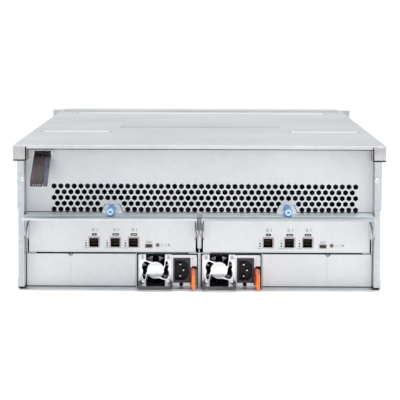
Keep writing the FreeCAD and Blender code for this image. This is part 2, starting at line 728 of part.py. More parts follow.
def io_face():
    """Face plate between the tray's sides, cut out for the ports and the service socket."""
    half = IO_WIDTH / 2 - SHEET
    wires = [outline("y", rectangle((-half, half), (IO_LOW + SHEET, IO_TOP)), PANEL)]
    for x in PORT_CENTRES:
        u = about(x, PORT_WIDTH + 2 * PORT_WALL + FIT)
        v = about(PORT_Z, PORT_HEIGHT + 2 * PORT_WALL + FIT)
        wires.append(outline("y", rectangle(u, v), PANEL))
    wide = SOCKET_MOUTH + 2 * SOCKET_SHELL
    tall = SOCKET_MOUTH_TALL + 2 * SOCKET_SHELL
    u = about(SOCKET_SIDE, wide + 2 * FIT)
    wires.append(outline("y", rectangle(u, about(IO_BOARD_TOP + tall / 2, tall + 2 * FIT)), PANEL))
    wires.append(facets("y", JACK_SIDE, IO_BOARD_TOP + JACK_RISE, JACK_RADIUS + FIT, 12, PANEL))
    return plate("y", wires, SHEET)


def io_board():
    """Circuit board with a finned heat sink and the plug that meets the midplane."""
    half = IO_WIDTH / 2 - 4
    end = PANEL + IO_DEPTH
    board = block((-half, half), (PANEL + 4, end - 3), (IO_BOARD_LOW, IO_BOARD_TOP))
    y = about(PANEL + SINK_IN, SINK)
    base = IO_BOARD_TOP + SINK_BASE
    sink = block(about(SINK_SIDE, SINK), y, (IO_BOARD_TOP, base))
    fins = []
    for index in range(SINK_FINS):
        x = SINK_SIDE + (index / (SINK_FINS - 1) - 0.5) * (SINK - 2.0)
        fins.append(block(about(x, SINK_FIN), y, (base, IO_BOARD_TOP + SINK_TALL)))
    plug = block(about(0, PLUG_WIDTH), (end - PLUG_DEPTH, MIDPLANE - PLUG_SOCKET - FIT),
                 (IO_BOARD_TOP, IO_BOARD_TOP + PLUG_TALL))
    return join(board, sink, plug, *fins)


def io_ports():
    """Port cages and the service sockets, soldered to the board."""
    front = PANEL - PORT_PROUD
    pieces = []
    for x in PORT_CENTRES:
        shell = block(about(x, PORT_WIDTH + 2 * PORT_WALL), (front, PANEL + PORT_LONG),
                      about(PORT_Z, PORT_HEIGHT + 2 * PORT_WALL))
        cavity = block(about(x, PORT_WIDTH), (front - 1, front + PORT_DEPTH), about(PORT_Z, PORT_HEIGHT))
        pieces.append(shell.cut(cavity))
    tall = SOCKET_MOUTH_TALL + 2 * SOCKET_SHELL
    z = about(IO_BOARD_TOP + tall / 2, tall)
    service = block(about(SOCKET_SIDE, SOCKET_MOUTH + 2 * SOCKET_SHELL), (front + 0.6, PANEL + 9), z)
    mouth = block(about(SOCKET_SIDE, SOCKET_MOUTH), (front, PANEL + 6),
                  about(IO_BOARD_TOP + tall / 2, SOCKET_MOUTH_TALL))
    pieces.append(service.cut(mouth))
    axis = IO_BOARD_TOP + JACK_RISE
    jack = join(stud("y", JACK_SIDE, axis, JACK_RADIUS, (front + 0.5, PANEL + 12), 12),
                block(about(JACK_SIDE, 2 * JACK_RADIUS), (PANEL + 4, PANEL + 12), (IO_BOARD_TOP, axis)))
    pieces.append(jack.cut(stud("y", JACK_SIDE, axis, JACK_BORE, (front, PANEL + 10), 12)))
    return group(pieces)


def io_lever():
    """Pull lever: a ledge with a front lip, a tab for the thumbscrew and two tapering arms."""
    arm_in = IO_WIDTH / 2 + ARM_GAP
    half = arm_in + SHEET
    back = PANEL - 2 * FIT
    nose = PANEL - LEDGE_REACH
    lip = LEDGE_TOP - 1
    path = [(back, LEDGE_TOP), (nose + 21, LEDGE_TOP), (nose, lip), (nose, lip - LEDGE_LIP)]
    ledge = bent_sheet("x", path, (-half, half), bend=BEND)
    arm = [
        (back, LEDGE_LOW + 0.2), (nose + 2, LEDGE_LOW - 1), (nose + 3, LEDGE_LOW - 5),
        (PIVOT_Y - 8, PIVOT_Z - 2), (PIVOT_Y - 4, PIVOT_Z - 6), (PIVOT_Y + 4, PIVOT_Z - 6),
        (PIVOT_Y + 8, PIVOT_Z - 2), (back, PIVOT_Z + 8),
    ]
    right = prism("x", arm, (arm_in, half))
    right = right.cut(rod("x", PIVOT_Y, PIVOT_Z, PIN_RADIUS + RUN_FIT, (arm_in - 1, half + 1)))
    foot = TAB_WIDTH / 2
    tab_corners = [
        (-foot, LEDGE_LOW), (foot, LEDGE_LOW), (foot, LEDGE_TOP + 2), (TAB_TOP / 2, LEDGE_TOP + TAB_HEIGHT),
        (-TAB_TOP / 2, LEDGE_TOP + TAB_HEIGHT), (-foot, LEDGE_TOP + 2),
    ]
    wires = [outline("y", [tuple(c) + (0,) * (3 - len(c)) for c in tab_corners], back - SHEET)]
    wires.append(facets("y", 0, SCREW_Z, SHANK_RADIUS + 0.25, 12, back - SHEET))
    return join(ledge, right, mirrored(right), plate("y", wires, SHEET))


def io_pivots():
    """Two shouldered pivot screws, through the arms and riveted in the tray's ears."""
    half = IO_WIDTH / 2
    outside = half + ARM_GAP + SHEET
    pin = rod("x", PIVOT_Y, PIVOT_Z, PIN_RADIUS, (half, outside + 0.15))
    head = stud("x", PIVOT_Y, PIVOT_Z, 4.2, (outside + 0.15, outside + 0.15 + PIN_HEAD), 10)
    right = join(pin, head)
    return group([right, mirrored(right)])


def io_thumbscrew():
    """Captive thumbscrew turned about its own axis: a barrel and a shank up to the panel."""
    tip = PANEL - SCREW_OUT
    barrel_end = tip + SCREW_BARREL - SCREW_NECK
    barrel = stud("y", 0, SCREW_Z, SCREW_RADIUS, (tip, barrel_end), 16)
    socket = stud("y", 0, SCREW_Z, SCREW_SOCKET, (tip - 1, tip + 1.5), 6)
    shank = rod("y", 0, SCREW_Z, SHANK_RADIUS, (barrel_end, PANEL - FIT))
    return join(barrel.cut(socket), shank)


# ---- power supply, drawn with its left side at x = 0 -------------------------------------------
def psu_case():
    """Sheet case, solid where nothing opens it, with its fan, inlet and latch pockets and its card."""
    case = block((0, PSU_WIDTH), (PANEL, PANEL + PSU_DEPTH), (PSU_LOW, PSU_LOW + PSU_HEIGHT))
    fan = PSU_FAN + FIT
    pocket = block(about(PSU_FAN_SIDE, fan), (PANEL - 1, PANEL + PSU_FAN_DEPTH), about(PSU_FAN_Z, fan))
    shell = 2 * INLET_SHELL + 2 * FIT
    inlet = block(about(INLET_SIDE, SOCKET_WIDTH + shell), (PANEL - 1, PANEL + INLET_DEEP + 1),
                  about(PSU_FAN_Z, SOCKET_TALL + shell))
    slot = block((LATCH_SIDE - 2.6, PSU_WIDTH - 1.8), (PANEL - 1, PANEL + LATCH_PIN_IN + 6), latch_span(1.0))
    pivot = rod("z", LATCH_SIDE + LATCH_PIN_SIDE, PANEL + LATCH_PIN_IN, LATCH_PIN, latch_span(1.5))
    card = block(about(PSU_WIDTH / 2, CARD_WIDTH), (PANEL + PSU_DEPTH - 1, MIDPLANE - 1 - FIT),
                 about(PSU_LOW + CARD_RISE, CARD))
    return join(case.cut(pocket).cut(inlet).cut(slot), pivot, card)


def latch_span(margin):
    """Height of the latch, widened by a margin at both ends."""
    low = PSU_LOW + LATCH_LOW
    return (low - margin, low + LATCH_HEIGHT + margin)


def psu_fan_frame():
    """Frame of the supply's own fan, seated in the case's pocket."""
    y = (PANEL, PANEL + PSU_FAN_DEPTH)
    return fan_frame(PSU_FAN_SIDE, PSU_FAN_Z, PSU_FAN, PSU_BORE, y, PSU_STRUT, PSU_SHAFT)


def guard_arm(quarter):
    """Wire of one swirled guard arm, from the hub out to the lug at its corner."""
    corner = GUARD / 2 - GUARD_LUG
    reach = math.hypot(corner, corner)
    rise = math.radians(90 * quarter + 45)
    plan = [(GUARD_HUB - 0.8, -62), (reach - 8.5, -31), (reach - 4.0, -12), (reach + 1.0, -8.5),
            (reach + 1.0, 8.5), (reach - 4.5, 9.0), (reach - 9.0, -4), (GUARD_HUB - 0.8, -22)]
    corners = []
    for radius, turn in plan:
        angle = rise + math.radians(turn)
        corners.append((PSU_FAN_SIDE + radius * math.cos(angle), PSU_FAN_Z + radius * math.sin(angle), 0))
    return outline("y", corners, PANEL - SHEET)


def psu_fan_guard():
    """Stamped finger guard: a hub disc, four swirled arms and a screw lug at each corner."""
    y = (PANEL - SHEET, PANEL)
    corner = GUARD / 2 - GUARD_LUG
    pieces = []
    for quarter in range(4):
        pieces.append(plate("y", [guard_arm(quarter)], SHEET))
        angle = math.radians(90 * quarter + 45)
        x = PSU_FAN_SIDE + math.copysign(corner, math.cos(angle))
        z = PSU_FAN_Z + math.copysign(corner, math.sin(angle))
        pieces.append(stud("y", x, z, GUARD_LUG, y))
    return join(stud("y", PSU_FAN_SIDE, PSU_FAN_Z, GUARD_HUB, y, 16), *pieces)


def psu_rotor():
    """Rotor of the supply's own fan."""
    y = (PANEL + 4, PANEL + PSU_FAN_DEPTH - PSU_STRUT / 2 - 2 * FIT)
    tip = PSU_BORE - PSU_TIP_SPACE
    return rotor(PSU_FAN_SIDE, PSU_FAN_Z, y, PSU_HUB, tip, PSU_SHAFT, PSU_BLADES)


def psu_inlet():
    """Mains inlet: a flange and a body with a bevelled socket and three blades."""
    front = PANEL - INLET_PROUD
    flange = prism("y", rectangle(about(INLET_SIDE, INLET_WIDTH), about(PSU_FAN_Z, INLET_HEIGHT)),
                   (front, PANEL))
    body = block(about(INLET_SIDE, SOCKET_WIDTH + 2 * INLET_SHELL), (PANEL, PANEL + INLET_DEEP),
                 about(PSU_FAN_Z, SOCKET_TALL + 2 * INLET_SHELL))
    left, right = about(INLET_SIDE, SOCKET_WIDTH)
    low, high = about(PSU_FAN_Z, SOCKET_TALL)
    bevel = 5.0
    mouth = [(left, low), (right - bevel, low), (right, low + bevel), (right, high - bevel),
             (right - bevel, high), (left, high)]
    socket = prism("y", mouth, (front - 1, PANEL + 15.5))
    blades = []
    for x, z in ((-2.0, -7.0), (-2.0, 7.0), (2.0, 0.0)):
        blades.append(block(about(INLET_SIDE + x, BLADE_WIDE), (PANEL + 3, PANEL + 16),
                            about(PSU_FAN_Z + z, BLADE_THICK)))
    return join(join(flange, body).cut(socket), *blades)


def psu_pull_loop():
    """Moulded pull loop: a rounded strap on two feet."""
    x = about(PSU_FAN_SIDE, LOOP_WIDTH)
    out = PANEL - LOOP_REACH
    z = (PSU_LOW + 1.0, PSU_LOW + 1.0 + LOOP_TALL)
    seat = PANEL - SHEET
    near = 0.3 * LOOP_TURN
    path = [(x[0], seat), (x[0], out + LOOP_TURN), (x[0] + near, out + near), (x[0] + LOOP_TURN, out),
            (x[1] - LOOP_TURN, out), (x[1] - near, out + near), (x[1], out + LOOP_TURN), (x[1], seat)]
    strap = bent_sheet("z", path, z, thickness=LOOP_THICK)
    feet = [block(about(side, LOOP_THICK), (seat - 4, seat), (z[0], z[1] + 2.0))
            for side in (x[0] + LOOP_THICK / 2, x[1] - LOOP_THICK / 2)]
    return join(strap, *feet)


def psu_latch():
    """Orange latch that turns on a pin in the case, with a tapering paddle outside."""
    low, high = latch_span(0)
    right = LATCH_SIDE + LATCH_WIDTH / 2 - 0.6
    out = PANEL - LATCH_REACH
    left = LATCH_SIDE - LATCH_WIDTH / 2
    root = PANEL + LATCH_PIN_IN + 3
    plan = [(right - 3.4, root), (right - 3.4, PANEL), (left, out + 6), (left, out),
            (LATCH_SIDE + 0.6, out), (right, PANEL - 8), (right, root)]
    arm = prism("z", plan, (low, high))
    slope = [(out - 1, high - 4), (PANEL - 10, high), (PANEL - 10, high + 1), (out - 1, high + 1)]
    wedge = prism("x", slope, (0, PSU_WIDTH))
    through = (low - 1, high + 1)
    bore = rod("z", LATCH_SIDE + LATCH_PIN_SIDE, PANEL + LATCH_PIN_IN, LATCH_PIN + RUN_FIT, through)
    return arm.cut(wedge).cut(bore)


def psu_status_lens():
    """White light pipe beside the inlet."""
    x = (PSU_WIDTH - LENS_IN - LENS_WIDTH, PSU_WIDTH - LENS_IN)
    z = (PSU_LOW + LENS_LOW, PSU_LOW + LENS_LOW + LENS_HEIGHT)
    return prism("y", rectangle(x, z), (PANEL - 0.8, PANEL))


# ---- all nodes ---------------------------------------------------------------------------------
def build():
    """Make every node and write its file."""
    os.makedirs("parts", exist_ok=True)
    single = (base_tray, vent_panel, module_shelf, fan_deck, centre_divider, psu_dividers, front_panel,
              midplane, drive_board, drive_cage, disk_drives, fan_frames, cover, lever_bracket,
              release_lever)
    for make in single:
        save(make.__name__, make())
    for make in (side_wall, rear_bracket, top_rail, rack_ear, blank_plates):
        right = make()
        save(make.__name__ + "_right", right)
        save(make.__name__ + "_left", mirrored(right))
    for index, x in enumerate(fan_places()):
        save("fan_rotor_%d" % (index + 1), fan_rotor(x))
    for make in (io_tray, io_face, io_board, io_ports, io_lever, io_pivots, io_thumbscrew):
        kind = make.__name__[3:]
        shape = make()
        for letter, side in (("a", -1), ("b", 1)):
            save("io_" + letter + "_" + kind, moved(shape, x=side * IO_CENTRE))
    for make in (psu_case, psu_fan_frame, psu_fan_guard, psu_rotor, psu_inlet, psu_pull_loop, psu_latch,
                 psu_status_lens):
        kind = make.__name__[4:]
        shape = make()
        for letter, centre in (("a", -PSU_CENTRE), ("b", PSU_CENTRE)):
            save("psu_" + letter + "_" + kind, moved(shape, x=centre - PSU_WIDTH / 2))


build()
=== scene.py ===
"""Disk shelf enclosure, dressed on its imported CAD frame. Metres, +Z up, rear face towards -Y.

One section for each piece or group of like pieces, in the order in which the shelf goes together."""

import json
import math

import bmesh
import bpy
from mathutils import Matrix, Vector


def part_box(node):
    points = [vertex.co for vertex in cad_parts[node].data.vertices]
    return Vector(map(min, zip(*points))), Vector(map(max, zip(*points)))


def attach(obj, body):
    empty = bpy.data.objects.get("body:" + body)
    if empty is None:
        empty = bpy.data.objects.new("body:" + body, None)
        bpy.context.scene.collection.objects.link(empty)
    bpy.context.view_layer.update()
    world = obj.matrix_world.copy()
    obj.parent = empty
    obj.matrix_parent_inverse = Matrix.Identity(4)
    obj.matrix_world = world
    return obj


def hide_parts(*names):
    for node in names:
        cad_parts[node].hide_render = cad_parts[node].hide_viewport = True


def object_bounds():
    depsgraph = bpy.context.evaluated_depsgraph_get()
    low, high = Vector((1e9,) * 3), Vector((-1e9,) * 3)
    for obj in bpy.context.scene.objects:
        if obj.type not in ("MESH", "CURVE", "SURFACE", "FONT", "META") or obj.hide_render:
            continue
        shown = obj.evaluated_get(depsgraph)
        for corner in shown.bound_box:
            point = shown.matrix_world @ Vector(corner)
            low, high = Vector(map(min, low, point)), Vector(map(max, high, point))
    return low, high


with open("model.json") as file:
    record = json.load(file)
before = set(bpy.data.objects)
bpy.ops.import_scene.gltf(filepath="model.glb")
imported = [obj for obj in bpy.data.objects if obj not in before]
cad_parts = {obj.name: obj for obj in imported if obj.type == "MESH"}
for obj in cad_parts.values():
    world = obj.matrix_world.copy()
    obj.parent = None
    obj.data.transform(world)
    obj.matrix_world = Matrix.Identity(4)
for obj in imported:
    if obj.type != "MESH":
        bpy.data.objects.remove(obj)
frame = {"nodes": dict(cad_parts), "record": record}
nodes = frame["nodes"]
cad_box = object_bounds()

# ---- studio ------------------------------------------------------------------------------------
# A plain matt white floor under even white light, with three large soft lamps: one high over the
# rear face and one low at each side. The camera stands a little above the shelf, square to its rear.
CAMERA_PLACE = Vector((0.0077, -2.773, 0.340))
CAMERA_TARGET = Vector((0.0007, -0.425, 0.110))
CAMERA_LENS = 176.6
CAMERA_ROLL = math.radians(0.2)
FLOOR_HALF = 40.0
FLOOR_GAP = 0.0004
FLOOR_WHITE = (0.90, 0.90, 0.90, 1)
FLOOR_LIFT = 0.20
WORLD_WHITE = (0.96, 0.98, 1.0, 1)
WORLD_STRENGTH = 0.92
WORLD_SEEN = 1.1
LAMP_AIM = Vector((0, -0.3, 0.1))
SOFT_LAMPS = (
    # place, width, height, watts
    ((0.3, -2.2, 2.4), 2.4, 1.4, 46.0),
    ((-2.4, -1.2, 1.2), 1.4, 1.8, 22.0),
    ((2.4, -1.0, 1.1), 1.4, 1.8, 16.0),
)


def set_values(node, values):
    """Values on a node's inputs, named with _ for a space."""
    for key, value in values.items():
        node.inputs[key.replace("_", " ")].default_value = value


def new_material(name, **values):
    """A material with its node tree and its shader, which takes the values."""
    material = bpy.data.materials.new(name)
    material.use_nodes = True
    tree = material.node_tree
    shader = tree.nodes["Principled BSDF"]
    set_values(shader, values)
    return material, tree, shader


def add_node(tree, kind, settings=None, **values):
    """A shader node with settings on itself and values on its inputs."""
    node = tree.nodes.new("ShaderNode" + kind)
    for key, value in (settings or {}).items():
        setattr(node, key, value)
    set_values(node, values)
    return node


def texture(tree, kind, settings=None, **values):
    """A texture laid in the object's own space."""
    node = add_node(tree, kind, settings, **values)
    tree.links.new(add_node(tree, "TexCoord").outputs["Object"], node.inputs["Vector"])
    return node


def combine(tree, operation, *terms):
    """The result of a maths node whose terms are numbers or other nodes' outputs."""
    node = add_node(tree, "Math", {"operation": operation})
    for place, term in enumerate(terms):
        if isinstance(term, float):
            node.inputs[place].default_value = term
        else:
            tree.links.new(term, node.inputs[place])
    return node.outputs[0]


def ramp(tree, source, stops):
    """Colour ramp through (place, colour) stops."""
    node = tree.nodes.new("ShaderNodeValToRGB")
    elements = node.color_ramp.elements
    while len(elements) < len(stops):
        elements.new(0.5)
    for element, (place, colour) in zip(elements, stops):
        element.position = place
        element.color = colour
    tree.links.new(source, node.inputs["Fac"])
    return node.outputs["Color"]


def grey(value):
    """A neutral colour."""
    return (value, value, value, 1)


def floor_paint():
    """Matt white, with the faint mottling of a rolled coat, lit a little more for the camera."""
    material, tree, shader = new_material("floor_paint", Roughness=0.85, Emission_Color=grey(1.0))
    mottle = texture(tree, "TexNoise", Scale=3.0, Detail=4.0)
    tone = ramp(tree, mottle.outputs["Fac"], ((0.3, grey(0.885)), (0.7, FLOOR_WHITE)))
    tree.links.new(tone, shader.inputs["Base Color"])
    seen = add_node(tree, "LightPath").outputs["Is Camera Ray"]
    tree.links.new(combine(tree, "MULTIPLY", seen, FLOOR_LIFT), shader.inputs["Emission Strength"])
    return material


floor_mesh = bpy.data.meshes.new("floor")
floor_corners = [(-FLOOR_HALF, -FLOOR_HALF, 0), (FLOOR_HALF, -FLOOR_HALF, 0),
                 (FLOOR_HALF, FLOOR_HALF, 0), (-FLOOR_HALF, FLOOR_HALF, 0)]
floor_mesh.from_pydata(floor_corners, [], [(0, 1, 2, 3)])
floor_mesh.materials.append(floor_paint())
floor = bpy.data.objects.new("floor", floor_mesh)
floor.location.z = cad_box[0][2] - FLOOR_GAP
bpy.context.scene.collection.objects.link(floor)

world = bpy.data.worlds.new("studio")
world.use_nodes = True
backdrop = world.node_tree.nodes["Background"]
seen = add_node(world.node_tree, "LightPath").outputs["Is Camera Ray"]
white = add_node(world.node_tree, "Mix", {"data_type": "RGBA"}, A=WORLD_WHITE, B=(1, 1, 1, 1))
strength = add_node(world.node_tree, "MapRange", To_Min=WORLD_STRENGTH, To_Max=WORLD_SEEN)
world.node_tree.links.new(seen, white.inputs["Factor"])
world.node_tree.links.new(seen, strength.inputs["Value"])
world.node_tree.links.new(white.outputs["Result"], backdrop.inputs["Color"])
world.node_tree.links.new(strength.outputs["Result"], backdrop.inputs["Strength"])
bpy.context.scene.world = world
bpy.context.scene.view_settings.view_transform = "Standard"

for number, (place, width, height, watts) in enumerate(SOFT_LAMPS):
    lamp = bpy.data.lights.new("soft_lamp_%d" % (number + 1), "AREA")
    lamp.shape = "RECTANGLE"
    lamp.size = width
    lamp.size_y = height
    lamp.energy = watts
    holder = bpy.data.objects.new(lamp.name, lamp)
    holder.location = place
    aim = LAMP_AIM - Vector(place)
    holder.rotation_euler = aim.to_track_quat("-Z", "Y").to_euler()
    bpy.context.scene.collection.objects.link(holder)

camera = bpy.data.objects.new("camera", bpy.data.cameras.new("camera"))
camera.data.lens = CAMERA_LENS
camera.data.clip_end = 200.0
camera.location = CAMERA_PLACE
camera.rotation_mode = "QUATERNION"
camera.rotation_quaternion = (CAMERA_TARGET - CAMERA_PLACE).to_track_quat("-Z", "Y")
camera.rotation_quaternion @= Matrix.Rotation(CAMERA_ROLL, 4, "Z").to_quaternion()
bpy.context.scene.collection.objects.link(camera)
bpy.context.scene.camera = camera

# ---- zinc-coated sheet steel -------------------------------------------------------------------
# The shell is folded from zinc-coated steel sheet: a pale metal with fine rolling lines, soft
# crystal patches, a few wipe marks, and edges that a press tool has rounded, painted near white
# along them as a highlight.
SHELL_LIGHT = (0.545, 0.575, 0.595, 1)
SHELL_DARK = (0.445, 0.475, 0.49, 1)


def new_group(name, inputs, outputs):
    """A shader node group with named sockets: its tree, its input node and its output node."""
    group = bpy.data.node_groups.new(name, "ShaderNodeTree")
    for title, kind, value in inputs:
        socket = group.interface.new_socket(title, in_out="INPUT", socket_type="NodeSocket" + kind)
        socket.default_value = value
    for title, kind in outputs:
        group.interface.new_socket(title, in_out="OUTPUT", socket_type="NodeSocket" + kind)
    return group, group.nodes.new("NodeGroupInput"), group.nodes.new("NodeGroupOutput")


def place_group(tree, group, **values):
    """A node group placed in a material, with its own values."""
    node = tree.nodes.new("ShaderNodeGroup")
    node.node_tree = group
    set_values(node, values)
    return node


def rolled_grain_group():
    """Fine lines along the rolling direction, as a tone and as a height."""
    group, enter, leave = new_group(
        "rolled_grain",
        [("Lines", "Vector", (12.0, 700.0, 700.0)), ("Depth", "Float", 1.0)],
        [("Tone", "Float"), ("Height", "Float")])
    link = group.links.new
    stretch = add_node(group, "VectorMath", {"operation": "MULTIPLY"})
    link(add_node(group, "TexCoord").outputs["Object"], stretch.inputs[0])
    link(enter.outputs["Lines"], stretch.inputs[1])
    lines = add_node(group, "TexNoise", Scale=1.0, Detail=2.0, Roughness=0.6)
    link(stretch.outputs[0], lines.inputs["Vector"])
    link(lines.outputs["Fac"], leave.inputs["Tone"])
    link(combine(group, "MULTIPLY", lines.outputs["Fac"], enter.outputs["Depth"]), leave.inputs["Height"])
    return group


def zinc_patches_group():
    """Soft crystal patches of a zinc coat, and broad clouds of tone."""
    group, enter, leave = new_group(
        "zinc_patches",
        [("Patch Size", "Float", 0.007), ("Contrast", "Float", 0.25)],
        [("Tone", "Float"), ("Clouds", "Float")])
    link = group.links.new
    cells = texture(group, "TexVoronoi", {"feature": "SMOOTH_F1"}, Smoothness=0.35)
    link(combine(group, "DIVIDE", 1.0, enter.outputs["Patch Size"]), cells.inputs["Scale"])
    split = add_node(group, "SeparateColor")
    link(cells.outputs["Color"], split.inputs[0])
    soften = add_node(group, "MapRange", To_Min=0.5)
    link(split.outputs[0], soften.inputs["Value"])
    link(combine(group, "MULTIPLY_ADD", enter.outputs["Contrast"], 0.5, 0.5), soften.inputs["To Max"])
    clouds = texture(group, "TexNoise", Scale=5.5, Detail=3.0, Roughness=0.5)
    link(soften.outputs["Result"], leave.inputs["Tone"])
    link(clouds.outputs["Fac"], leave.inputs["Clouds"])
    return group


def wipe_marks_group():
    """Broad faint smears left by handling."""
    group, enter, leave = new_group(
        "wipe_marks", [("Amount", "Float", 0.5)], [("Smear", "Float")])
    bend = texture(group, "TexNoise", Scale=9.0, Detail=5.0, Distortion=1.6)
    pick = add_node(group, "MapRange", From_Min=0.52, From_Max=0.72)
    group.links.new(bend.outputs["Fac"], pick.inputs["Value"])
    group.links.new(enter.outputs["Amount"], pick.inputs["To Max"])
    group.links.new(pick.outputs["Result"], leave.inputs["Smear"])
    return group


def pressed_edge_group():
    """Rounded normal at a sheet's edges, and a mask of where they are."""
    group, enter, leave = new_group(
        "pressed_edge", [("Radius", "Float", 0.0006)], [("Normal", "Vector"), ("Edge", "Float")])
    link = group.links.new
    rounded = add_node(group, "Bevel", {"samples": 4})
    link(enter.outputs["Radius"], rounded.inputs["Radius"])
    geometry = add_node(group, "NewGeometry")
    compare = add_node(group, "VectorMath", {"operation": "DOT_PRODUCT"})
    link(rounded.outputs[0], compare.inputs[0])
    link(geometry.outputs["Normal"], compare.inputs[1])
    mask = add_node(group, "MapRange", From_Min=0.98, From_Max=0.80)
    link(compare.outputs["Value"], mask.inputs["Value"])
    link(rounded.outputs[0], leave.inputs["Normal"])
    link(mask.outputs["Result"], leave.inputs["Edge"])
    return group


ROLLED_GRAIN = rolled_grain_group()
ZINC_PATCHES = zinc_patches_group()
WIPE_MARKS = wipe_marks_group()
PRESSED_EDGE = pressed_edge_group()


def edge_wear_and_highlight(tree, shader, tone, press, colour):
    """The base colour: a tone, with another colour along the pressed edges: a painted highlight, and on
    plastics also paler wear.
    """
    mix = add_node(tree, "Mix", {"data_type": "RGBA"}, B=colour)
    tree.links.new(press.outputs["Edge"], mix.inputs["Factor"])
    tree.links.new(tone, mix.inputs["A"])
    tree.links.new(mix.outputs["Result"], shader.inputs["Base Color"])


def emboss(tree, shader, height, strength, distance, press=None):
    """The surface's normal: raised by a height, and rounded at pressed edges where given."""
    bump = add_node(tree, "Bump", Strength=strength, Distance=distance)
    tree.links.new(height, bump.inputs["Height"])
    if press:
        tree.links.new(press.outputs["Normal"], bump.inputs["Normal"])
    tree.links.new(bump.outputs["Normal"], shader.inputs["Normal"])


def zinc_sheet(name, light, dark, roughness, lines, edge=0.0006, patches=0.25, wipes=0.5, lined=0.5):
    """Zinc-coated sheet with grain, patches, wipe marks and pressed edges."""
    material, tree, shader = new_material(name, Metallic=1.0)
    link = tree.links.new
    grain = place_group(tree, ROLLED_GRAIN, Lines=lines)
    zinc = place_group(tree, ZINC_PATCHES, Contrast=patches)
    wipe = place_group(tree, WIPE_MARKS, Amount=wipes)
    press = place_group(tree, PRESSED_EDGE, Radius=edge)
    clouds = combine(tree, "MULTIPLY", zinc.outputs["Clouds"], 1 - lined)
    mixed = combine(tree, "MULTIPLY_ADD", grain.outputs["Tone"], lined, clouds)
    tone = ramp(tree, mixed, ((0.36, dark), (0.62, light)))
    patchy = add_node(tree, "Mix", {"data_type": "RGBA", "blend_type": "OVERLAY"}, Factor=0.5)
    link(tone, patchy.inputs["A"])
    link(zinc.outputs["Tone"], patchy.inputs["B"])
    # Every pressed edge is painted near white as a highlight.
    edge_wear_and_highlight(tree, shader, patchy.outputs["Result"], press, (0.9, 0.91, 0.92, 1))
    rough = combine(tree, "MULTIPLY_ADD", grain.outputs["Tone"], 0.16, roughness - 0.08)
    link(combine(tree, "MULTIPLY_ADD", wipe.outputs["Smear"], 0.12, rough), shader.inputs["Roughness"])
    emboss(tree, shader, grain.outputs["Height"], 0.12, 0.0002, press)
    return material


def dress(material, *names):
    """Gives a material to CAD nodes."""
    for name in names:
        slots = nodes[name].material_slots
        for slot in slots:
            slot.material = material
        if not slots:
            nodes[name].data.materials.append(material)


ALONG_X = (14.0, 800.0, 800.0)
ALONG_Y = (800.0, 14.0, 800.0)
shell_steel = zinc_sheet("shell_steel", SHELL_LIGHT, SHELL_DARK, 0.36, ALONG_Y)
dress(shell_steel, "base_tray", "side_wall_left", "side_wall_right", "rear_bracket_left",
      "rear_bracket_right", "rack_ear_left", "rack_ear_right", "front_panel", "psu_dividers")

# ---- shell rivets ------------------------------------------------------------------------------
# Domed steel rivets close the rear brackets, the tray's folded sides and the walls. One swaged
# rivet, a raised ring round a sunk middle, stands in each rear flange.
SHELL_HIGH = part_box("base_tray")[1]
WALL_LOW, WALL_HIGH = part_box("side_wall_right")
BRACKET_LOW, BRACKET_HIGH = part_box("rear_bracket_right")
RIVET = 0.0028
RIVET_RISE = 0.0007
FLANGE_RIVET = (WALL_HIGH.x - 0.0050, 0.1337)
RIVET_ROWS = (
    # outer face, first place, pitch, count, height, zigzag
    (BRACKET_HIGH.x, BRACKET_LOW.y + 0.012, 0.0115, 4, 0.107, 0.042),
    (SHELL_HIGH.x, WALL_LOW.y + 0.030, 0.0965, 9, 0.0095, 0.0),
    (WALL_HIGH.x, WALL_LOW.y + 0.085, 0.0985, 8, 0.146, 0.0),
)


def add_turned(bm, centre, axis, profile, sides=24):
    """Surface turned about an axis through a centre, from (radius, distance along) pairs."""
    turn = Vector((0, 0, 1)).rotation_difference(Vector(axis)).to_matrix()
    rows = []
    for radius, along in profile:
        if radius < 1e-7:
            rows.append([bm.verts.new(Vector(centre) + turn @ Vector((0, 0, along)))])
            continue
        row = []
        for step in range(sides):
            angle = math.tau * step / sides
            spot = Vector((radius * math.cos(angle), radius * math.sin(angle), along))
            row.append(bm.verts.new(Vector(centre) + turn @ spot))
        rows.append(row)
    for near, far in zip(rows, rows[1:]):
        for step in range(sides):
            following = (step + 1) % sides
            if len(near) == 1 and len(far) > 1:
                bm.faces.new((near[0], far[step], far[following]))
            elif len(far) == 1 and len(near) > 1:
                bm.faces.new((near[step], far[0], near[following]))
            elif len(near) > 1:
                bm.faces.new((near[step], far[step], far[following], near[following]))


def finish_piece(name, bm, material, body, smooth=35):
    """A piece from a bmesh, smooth up to an angle, riding on its body."""
    bmesh.ops.recalc_face_normals(bm, faces=bm.faces)
    mesh = bpy.data.meshes.new(name)
    bm.to_mesh(mesh)
    bm.free()
    mesh.materials.append(material)
    for polygon in mesh.polygons:
        polygon.use_smooth = True
    mesh.set_sharp_from_angle(angle=math.radians(smooth))
    piece = bpy.data.objects.new(name, mesh)
    bpy.context.scene.collection.objects.link(piece)
    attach(piece, body)
    return piece


def dome(radius, rise):
    """Profile of a low rounded rivet head."""
    return [(radius, 0), (radius, 0.3 * rise), (0.86 * radius, 0.72 * rise), (0.55 * radius, 0.95 * rise),
            (0, rise)]


def ring_rivet(radius, rise):
    """Profile of a swaged rivet: a raised ring round a sunk middle."""
    return [(radius, 0), (0.96 * radius, 0.6 * rise), (0.8 * radius, rise), (0.6 * radius, rise),
            (0.45 * radius, 0.25 * rise), (0, 0.2 * rise)]


